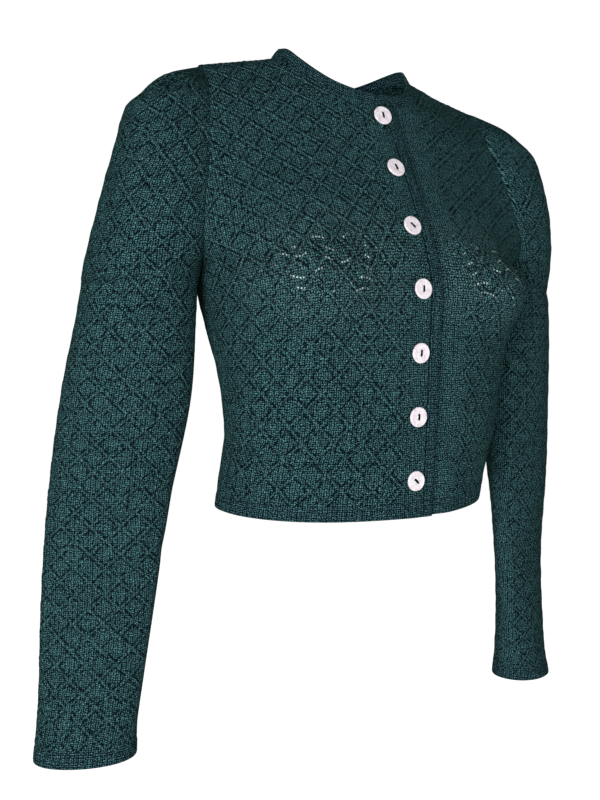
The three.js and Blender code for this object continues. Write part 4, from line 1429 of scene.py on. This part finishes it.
def make_group(body: Callable, inputs: dict[str, str], outputs: dict[str, str]) -> bpy.types.NodeTree:
    """Makes a shader node group.

    Args:
        body: Takes the graph and the inputs' signals and gives the outputs' in turn. The
            group has its name.
        inputs: Socket type of each input by name.
        outputs: Socket type of each output by name.

    Returns:
        The group's tree.
    """
    tree = bpy.data.node_groups.new(body.__name__, "ShaderNodeTree")
    for sockets, way in ((inputs, "INPUT"), (outputs, "OUTPUT")):
        for label, kind in sockets.items():
            tree.interface.new_socket(label, in_out=way, socket_type=kind)
    graph = Graph(tree)
    given, out = graph.node("NodeGroupInput"), graph.node("NodeGroupOutput")
    signals = body(graph, *(Signal(graph, given.outputs[label]) for label in inputs))
    graph.feed(out, dict(zip(outputs, signals)))
    return tree


ELLIPSE = ("Middle U", "Middle V", "Half U", "Half V")
GROUPS = {
    "open": make_group(
        open_stitches, {"Place": VECTOR} | dict.fromkeys(ELLIPSE, FLOAT), {"Mask": FLOAT}
    ),
    "lozenge": make_group(
        lozenge_lattice,
        {"Place": VECTOR, "Size": FLOAT, "Ridge Width": FLOAT},
        {"Ridge": FLOAT, "Nested": FLOAT, "Middle": FLOAT, "Groove": FLOAT},
    ),
    "stitch": make_group(
        knit_stitches,
        {"Place": VECTOR, "Width": FLOAT, "Height": FLOAT},
        {"Relief": FLOAT, "Shade": FLOAT},
    ),
    "yarn": make_group(
        wool_yarn,
        {"Place": VECTOR, "Shake": FLOAT},
        {"Shaken": VECTOR, "Speckle": FLOAT, "Mottle": FLOAT},
    ),
}


# ------------------------------------------------------------------ finishes

Colour = tuple[float, float, float]


def rgba(colour: Colour) -> tuple[float, float, float, float]:
    """The colour with full alpha."""
    return (*colour, 1.0)


def new_material(name: str) -> tuple[bpy.types.Material, Graph, bpy.types.Node]:
    """Makes a material with nodes: the material, its graph and its Principled BSDF."""
    material = bpy.data.materials.new(name)
    material.use_nodes = True
    return material, Graph(material.node_tree), material.node_tree.nodes["Principled BSDF"]


@dataclass(frozen=True)
class WoolFinish:
    """Fine dark wool; with a lattice it is patterned cloth, without it a border.

    Sizes are in mm. A tone is built up from strengths times masks, and runs from deep
    through base to light; the loops' hollows and the grooves get painted shade, the
    loops' crests, ridges and ribs painted highlights, and a painted sheen turns the colour
    greener at grazing angles. A border's ribs and dots are cosines. The opened ellipse is
    given by its middle and half sizes in the knitting.
    """

    name: str
    deep: Colour
    base: Colour
    light: Colour
    patterned: bool = False
    opened: bool = False
    stitch_width: float = 4.2
    stitch_height: float = 1.9
    shake: float = 3.4
    stitch_relief: float = 0.5
    tone_start: float = -0.45
    # Painted shade: stitch_tone makes the hollows between the loops darker and their crests lighter.
    stitch_tone: float = 1.15
    shade_tone: float = 0.16
    speckle_tone: float = 0.7
    mottle_tone: float = 0.12
    fuzz_scale: float = 2.2
    fuzz_relief: float = 0.4
    dark_tones: tuple[float, float] = (0.15, 0.5)
    light_tones: tuple[float, float] = (0.5, 0.9)
    ridge_width: float = 1.3
    # Each pair is relief, then tone; the tone is a painted highlight on ridges, nested ridges and
    # middles, and a painted shadow in the groove.
    ridge: tuple[float, float] = (1.6, 0.18)
    nested: tuple[float, float] = (1.0, 0.1)
    middle: tuple[float, float] = (1.0, 0.14)
    groove: tuple[float, float] = (-1.4, -0.66)
    dash_scale: float = 0.24
    dashes: tuple[float, float] = (0.42, 0.58)
    rib_width: float = 2.6
    # The rib's tone is a painted highlight on the rib crests and painted shade between the ribs.
    rib: tuple[float, float] = (0.5, 0.3)
    # Painted sheen: the colour turns towards this green where the cloth is seen at a grazing angle.
    painted_sheen: Colour = (0.003, 0.05, 0.025)
    painted_sheen_blend: float = 0.35
    painted_sheen_power: float = 3.0
    painted_sheen_share: float = 0.5
    pale: Colour = (0.55, 0.75, 0.72)
    opened_at: tuple[float, float, float, float] = (92.0, 196.0, 52.0, 27.0)
    bump: float = 1.0
    roughness: float = 0.95
    specular: float = 0.06

    def pattern(self, graph: Graph, place: Signal) -> list[tuple[Signal, tuple[float, float]]]:
        """Masks of the lattice or of the ribs, each with its relief and its tone.

        The ridges get a faint painted highlight, as do nested ridges, middles and rib crests; the
        ribs' hollows get painted shade, and the groove beside each ridge a painted shadow in uneven
        dashes.
        """
        if not self.patterned:
            along, across = graph.split(place)
            dots = graph.math("COSINE", along * (TURN / self.stitch_width)) * 0.5 + 0.5
            # Painted highlight on the rib crests and painted shade between the ribs.
            return [(graph.math("COSINE", across * (TURN / self.rib_width)) * dots, self.rib)]
        sizes = {"Place": place, "Size": RELIEF.size, "Ridge Width": self.ridge_width}
        lattice = graph.group("lozenge", sizes)
        # The groove's painted shadow, with its hollow, is broken into uneven dashes.
        lattice["Groove"] *= graph.ramp(graph.noise(place, self.dash_scale, 1.0), *self.dashes)
        share, _ = graph.split(graph.map("pattern"))
        strengths = zip(lattice.values(), (self.ridge, self.nested, self.middle, self.groove))
        return [(mask * share, strength) for mask, strength in strengths]

    def material(self) -> bpy.types.Material:
        """Builds the wool's material on the knitting's own map, in mm."""
        material, graph, shader = new_material(self.name)
        lay = graph.map("lay")
        yarn = graph.group("yarn", {"Place": lay, "Shake": self.shake})
        place = yarn["Shaken"]
        sizes = {"Place": place, "Width": self.stitch_width, "Height": self.stitch_height}
        stitch = graph.group("stitch", sizes)
        relief = stitch["Relief"] * self.stitch_relief
        # Painted shade between the loops and a painted highlight on their crests, from the stitches'
        # relief.
        tone = stitch["Relief"] * self.stitch_tone + self.tone_start
        tone += stitch["Shade"] * self.shade_tone
        tone += yarn["Speckle"] * self.speckle_tone
        tone += yarn["Mottle"] * self.mottle_tone
        # Painted light: each mask's tone is a painted highlight on raised parts or a painted shadow in
        # the grooves.
        for mask, (raised, painted_light) in self.pattern(graph, place):
            relief += mask * raised
            tone += mask * painted_light
        relief += graph.noise(lay, self.fuzz_scale, 2.0) * self.fuzz_relief
        dark = graph.mix(graph.ramp(tone, *self.dark_tones), rgba(self.deep), rgba(self.base))
        colour = graph.mix(graph.ramp(tone, *self.light_tones), dark, rgba(self.light))
        # Painted sheen: the colour is tinted greener where the surface is seen at a grazing angle.
        facing = graph.signal("ShaderNodeLayerWeight", "Facing", {"Blend": self.painted_sheen_blend})
        edge = facing**self.painted_sheen_power * self.painted_sheen_share
        colour = graph.mix(edge, colour, rgba(self.painted_sheen))
        if self.opened:
            opened = graph.group("open", {"Place": lay} | dict(zip(ELLIPSE, self.opened_at)))
            colour = graph.mix(opened["Mask"], colour, rgba(self.pale))
        inputs = {"Height": relief, "Strength": self.bump, "Distance": MM}
        normal = graph.signal("ShaderNodeBump", 0, inputs)
        graph.feed(shader, {"Base Color": colour, "Normal": normal})
        graph.feed(shader, {"Roughness": self.roughness, "Specular IOR Level": self.specular})
        return material


@dataclass(frozen=True)
class PearlFinish:
    """Polished mother-of-pearl, mottled in white, pink and pale blue grey."""

    name: str = "pearl"
    grey: Colour = (0.55, 0.58, 0.68)
    pink: Colour = (0.85, 0.72, 0.78)
    white: Colour = (0.92, 0.9, 0.93)
    cloud_scale: float = 0.22
    cloud_tone: float = 0.8
    fleck_scale: float = 0.7
    fleck_tone: float = 0.7
    pink_tones: tuple[float, float] = (0.5, 0.7)
    white_tones: tuple[float, float] = (0.66, 0.86)
    bump: float = 0.08
    roughness: float = 0.22
    coat: float = 0.4
    coat_roughness: float = 0.08

    def material(self) -> bpy.types.Material:
        """Builds the shell's material."""
        material, graph, shader = new_material(self.name)
        lay = graph.map("lay")
        clouds = graph.noise(lay, self.cloud_scale, 3.0) * self.cloud_tone
        tone = graph.noise(lay, self.fleck_scale, 2.0) * self.fleck_tone + clouds
        first = graph.mix(graph.ramp(tone, *self.pink_tones), rgba(self.grey), rgba(self.pink))
        colour = graph.mix(graph.ramp(tone, *self.white_tones), first, rgba(self.white))
        inputs = {"Height": tone, "Strength": self.bump, "Distance": MM}
        normal = graph.signal("ShaderNodeBump", 0, inputs)
        graph.feed(shader, {"Base Color": colour, "Normal": normal, "Roughness": self.roughness})
        graph.feed(shader, {"Coat Weight": self.coat, "Coat Roughness": self.coat_roughness})
        return material


PATTERNED_WOOL = WoolFinish(
    "wool_lozenge", (0.002, 0.008, 0.01), (0.011, 0.043, 0.053), (0.1, 0.25, 0.26), patterned=True
)
FRONT_WOOL = replace(PATTERNED_WOOL, name="wool_lozenge_front", opened=True)
BORDER_WOOL = WoolFinish(
    "wool_border", (0.002, 0.007, 0.009), (0.01, 0.039, 0.05), (0.09, 0.22, 0.245)
)
SEWING_YARN = WoolFinish(
    "sewing_yarn", (0.001, 0.003, 0.003), (0.002, 0.007, 0.007), (0.01, 0.022, 0.022)
)


# ------------------------------------------------------------------ studio


@dataclass(frozen=True)
class Lamp:
    """A square soft light: its name, place and size in metres, and power in watts."""

    name: str
    place: tuple[float, float, float]
    power: float
    size: float


@dataclass
class Studio:
    """Pale floor, soft lights and the camera, in metres and degrees."""

    floor_z: float = -0.93
    floor_reach: float = 6.0
    floor_half_width: float = 8.0
    bend_start: float = 3.0
    bend_radius: float = 3.0
    wall_top: float = 7.0
    paper_grey: float = 0.5
    paper_roughness: float = 0.9
    paper_glow: tuple[float, float] = (0.87, 0.08)
    sky_glow: tuple[float, float] = (0.92, 0.08)
    camera_place: tuple[float, float, float] = (-0.5379, -0.85107, -0.255)
    azimuth: float = -30.0
    pitch: float = -3.43
    lens: float = 45.0
    sensor: float = 36.0
    aim: tuple[float, float, float] = (0.0, 0.0, -0.25)
    lamps: tuple[Lamp, ...] = (
        Lamp("studio_key", (-1.8, -1.5, -0.3), 48, 1.0),
        Lamp("studio_fill", (0.5, -2.3, -0.5), 22, 1.2),
        Lamp("studio_back", (1.4, 1.7, 0.6), 7, 1.2),
    )

    def glow(self, graph: Graph, strengths: tuple[float, float]) -> Signal:
        """A strength for what the camera sees directly, added to one that lights."""
        seen, always = strengths
        return graph.signal("ShaderNodeLightPath", "Is Camera Ray") * seen + always

    def floor(self) -> None:
        """A wide pale sweep: flat under the object and curving up far behind it."""
        bend = np.linspace(0, np.pi / 2, 24)
        run = self.bend_start + self.bend_radius * np.sin(bend)
        rise = self.bend_radius * (1 - np.cos(bend))
        run = np.concatenate([[-self.floor_reach, 0], run, run[-1:]])
        rise = np.concatenate([[0, 0], rise, [self.wall_top]])
        turn = np.radians(self.azimuth)
        across = np.array([np.cos(turn), np.sin(turn), 0])
        away = np.array([-np.sin(turn), np.cos(turn), 0])
        x = self.floor_half_width * np.array([-1, 1])
        points = x[:, None, None] * across + run[:, None] * away
        points[..., 2] = self.floor_z + rise
        faces = quads(number_grid(points.shape[:2]).T, 1).tolist()
        floor = link_mesh("studio_floor", points.reshape(-1, 3), faces)
        material, graph, shader = new_material("studio_paper")
        grey, white = rgba((self.paper_grey,) * 3), rgba((1.0,) * 3)
        graph.feed(shader, {"Base Color": grey, "Roughness": self.paper_roughness})
        glow = self.glow(graph, self.paper_glow)
        graph.feed(shader, {"Emission Color": white, "Emission Strength": glow})
        floor.data.materials.append(material)

    def light(self, lamp: Lamp) -> None:
        """Sets up a lamp that faces the garment."""
        data = bpy.data.lights.new(lamp.name, "AREA")
        data.energy, data.size = lamp.power, lamp.size
        made = bpy.data.objects.new(lamp.name, data)
        made.location = lamp.place
        x, y, z = np.array(self.aim) - lamp.place
        made.rotation_euler = (np.arctan2(np.hypot(x, y), -z), 0, np.arctan2(y, x) - np.pi / 2)
        bpy.context.scene.collection.objects.link(made)

    def camera(self) -> None:
        """The camera, level sideways and pitched a little down."""
        data = bpy.data.cameras.new("studio_camera")
        data.lens, data.sensor_width = self.lens, self.sensor
        camera = bpy.data.objects.new("studio_camera", data)
        camera.location = self.camera_place
        camera.rotation_euler = (np.radians(90 + self.pitch), 0, np.radians(self.azimuth))
        bpy.context.scene.collection.objects.link(camera)
        bpy.context.scene.camera = camera

    def build(self) -> None:
        """Sets the whole studio up."""
        self.camera()
        self.floor()
        for lamp in self.lamps:
            self.light(lamp)
        world = bpy.data.worlds.new("studio_world")
        world.use_nodes = True
        graph, background = Graph(world.node_tree), world.node_tree.nodes["Background"]
        glow = self.glow(graph, self.sky_glow)
        graph.feed(background, {"Color": rgba((1.0,) * 3), "Strength": glow})
        bpy.context.scene.world = world
        bpy.context.scene.view_settings.view_transform = "Standard"


# ------------------------------------------------------------------ assembly


def dress(piece: bpy.types.Object, material: bpy.types.Material, slot: str, *nodes: str) -> None:
    """Gives a piece its material and hides the solids that it stands for."""
    piece.data.materials.append(material)
    if nodes:
        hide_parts(*nodes)
    log.info("%s: %d faces", piece.name, len(piece.data.polygons))


def build_cloth() -> None:
    """The back, the fronts and the sleeves."""
    plain, opened = PATTERNED_WOOL.material(), FRONT_WOOL.material()
    trunk = Trunk()
    pieces = [trunk.back(), *(trunk.front(side) for side in Side)]
    pieces += [Sleeve(side).piece() for side in Side]
    for cloth in pieces:
        made = cloth.build()
        material = opened if "front" in cloth.name else plain
        dress(made, material, "wool_lozenge", cloth.name.removeprefix("cloth_"))


def build_borders() -> None:
    """Every ribbed border, each a narrow sheet of its own, with its cut in metres."""
    material = BORDER_WOOL.material()
    borders = Borders()
    half_hem = float(FRONT.reach(np.array([0.0]))[0]) * MM
    made = [
        (borders.neck(), "neckband", (0.48, 0.0105)),
        (borders.hem_back(), "hem_band_back", (0.34, 0.015)),
    ]
    for side in Side:
        made += [
            (borders.front(side), f"front_band_{side.word}", (0.41, 0.012)),
            (borders.hem_front(side), f"hem_band_front_{side.word}", (half_hem, 0.015)),
            (borders.cuff(side), f"cuff_band_{side.word}", (0.21, 0.0135)),
        ]
    for piece, node, flat in made:
        dress(piece, material, "wool_rib", node)


def build_buttons() -> None:
    """The buttons and the yarn that holds each."""
    pearl, yarn = PearlFinish().material(), SEWING_YARN.material()
    buttons = Buttons()
    for number in range(1, len(buttons.heights) + 1):
        dress(buttons.shell(number), pearl, "pearl_button", f"button_{number}")
        dress(buttons.yarn(number), yarn, "wool_rib")


def main() -> None:
    """Builds the studio and every piece, and logs each piece's face count."""
    logging.basicConfig(level=logging.INFO)
    Studio().build()
    build_cloth()
    build_borders()
    build_buttons()


if __name__ == "__main__":
    main()
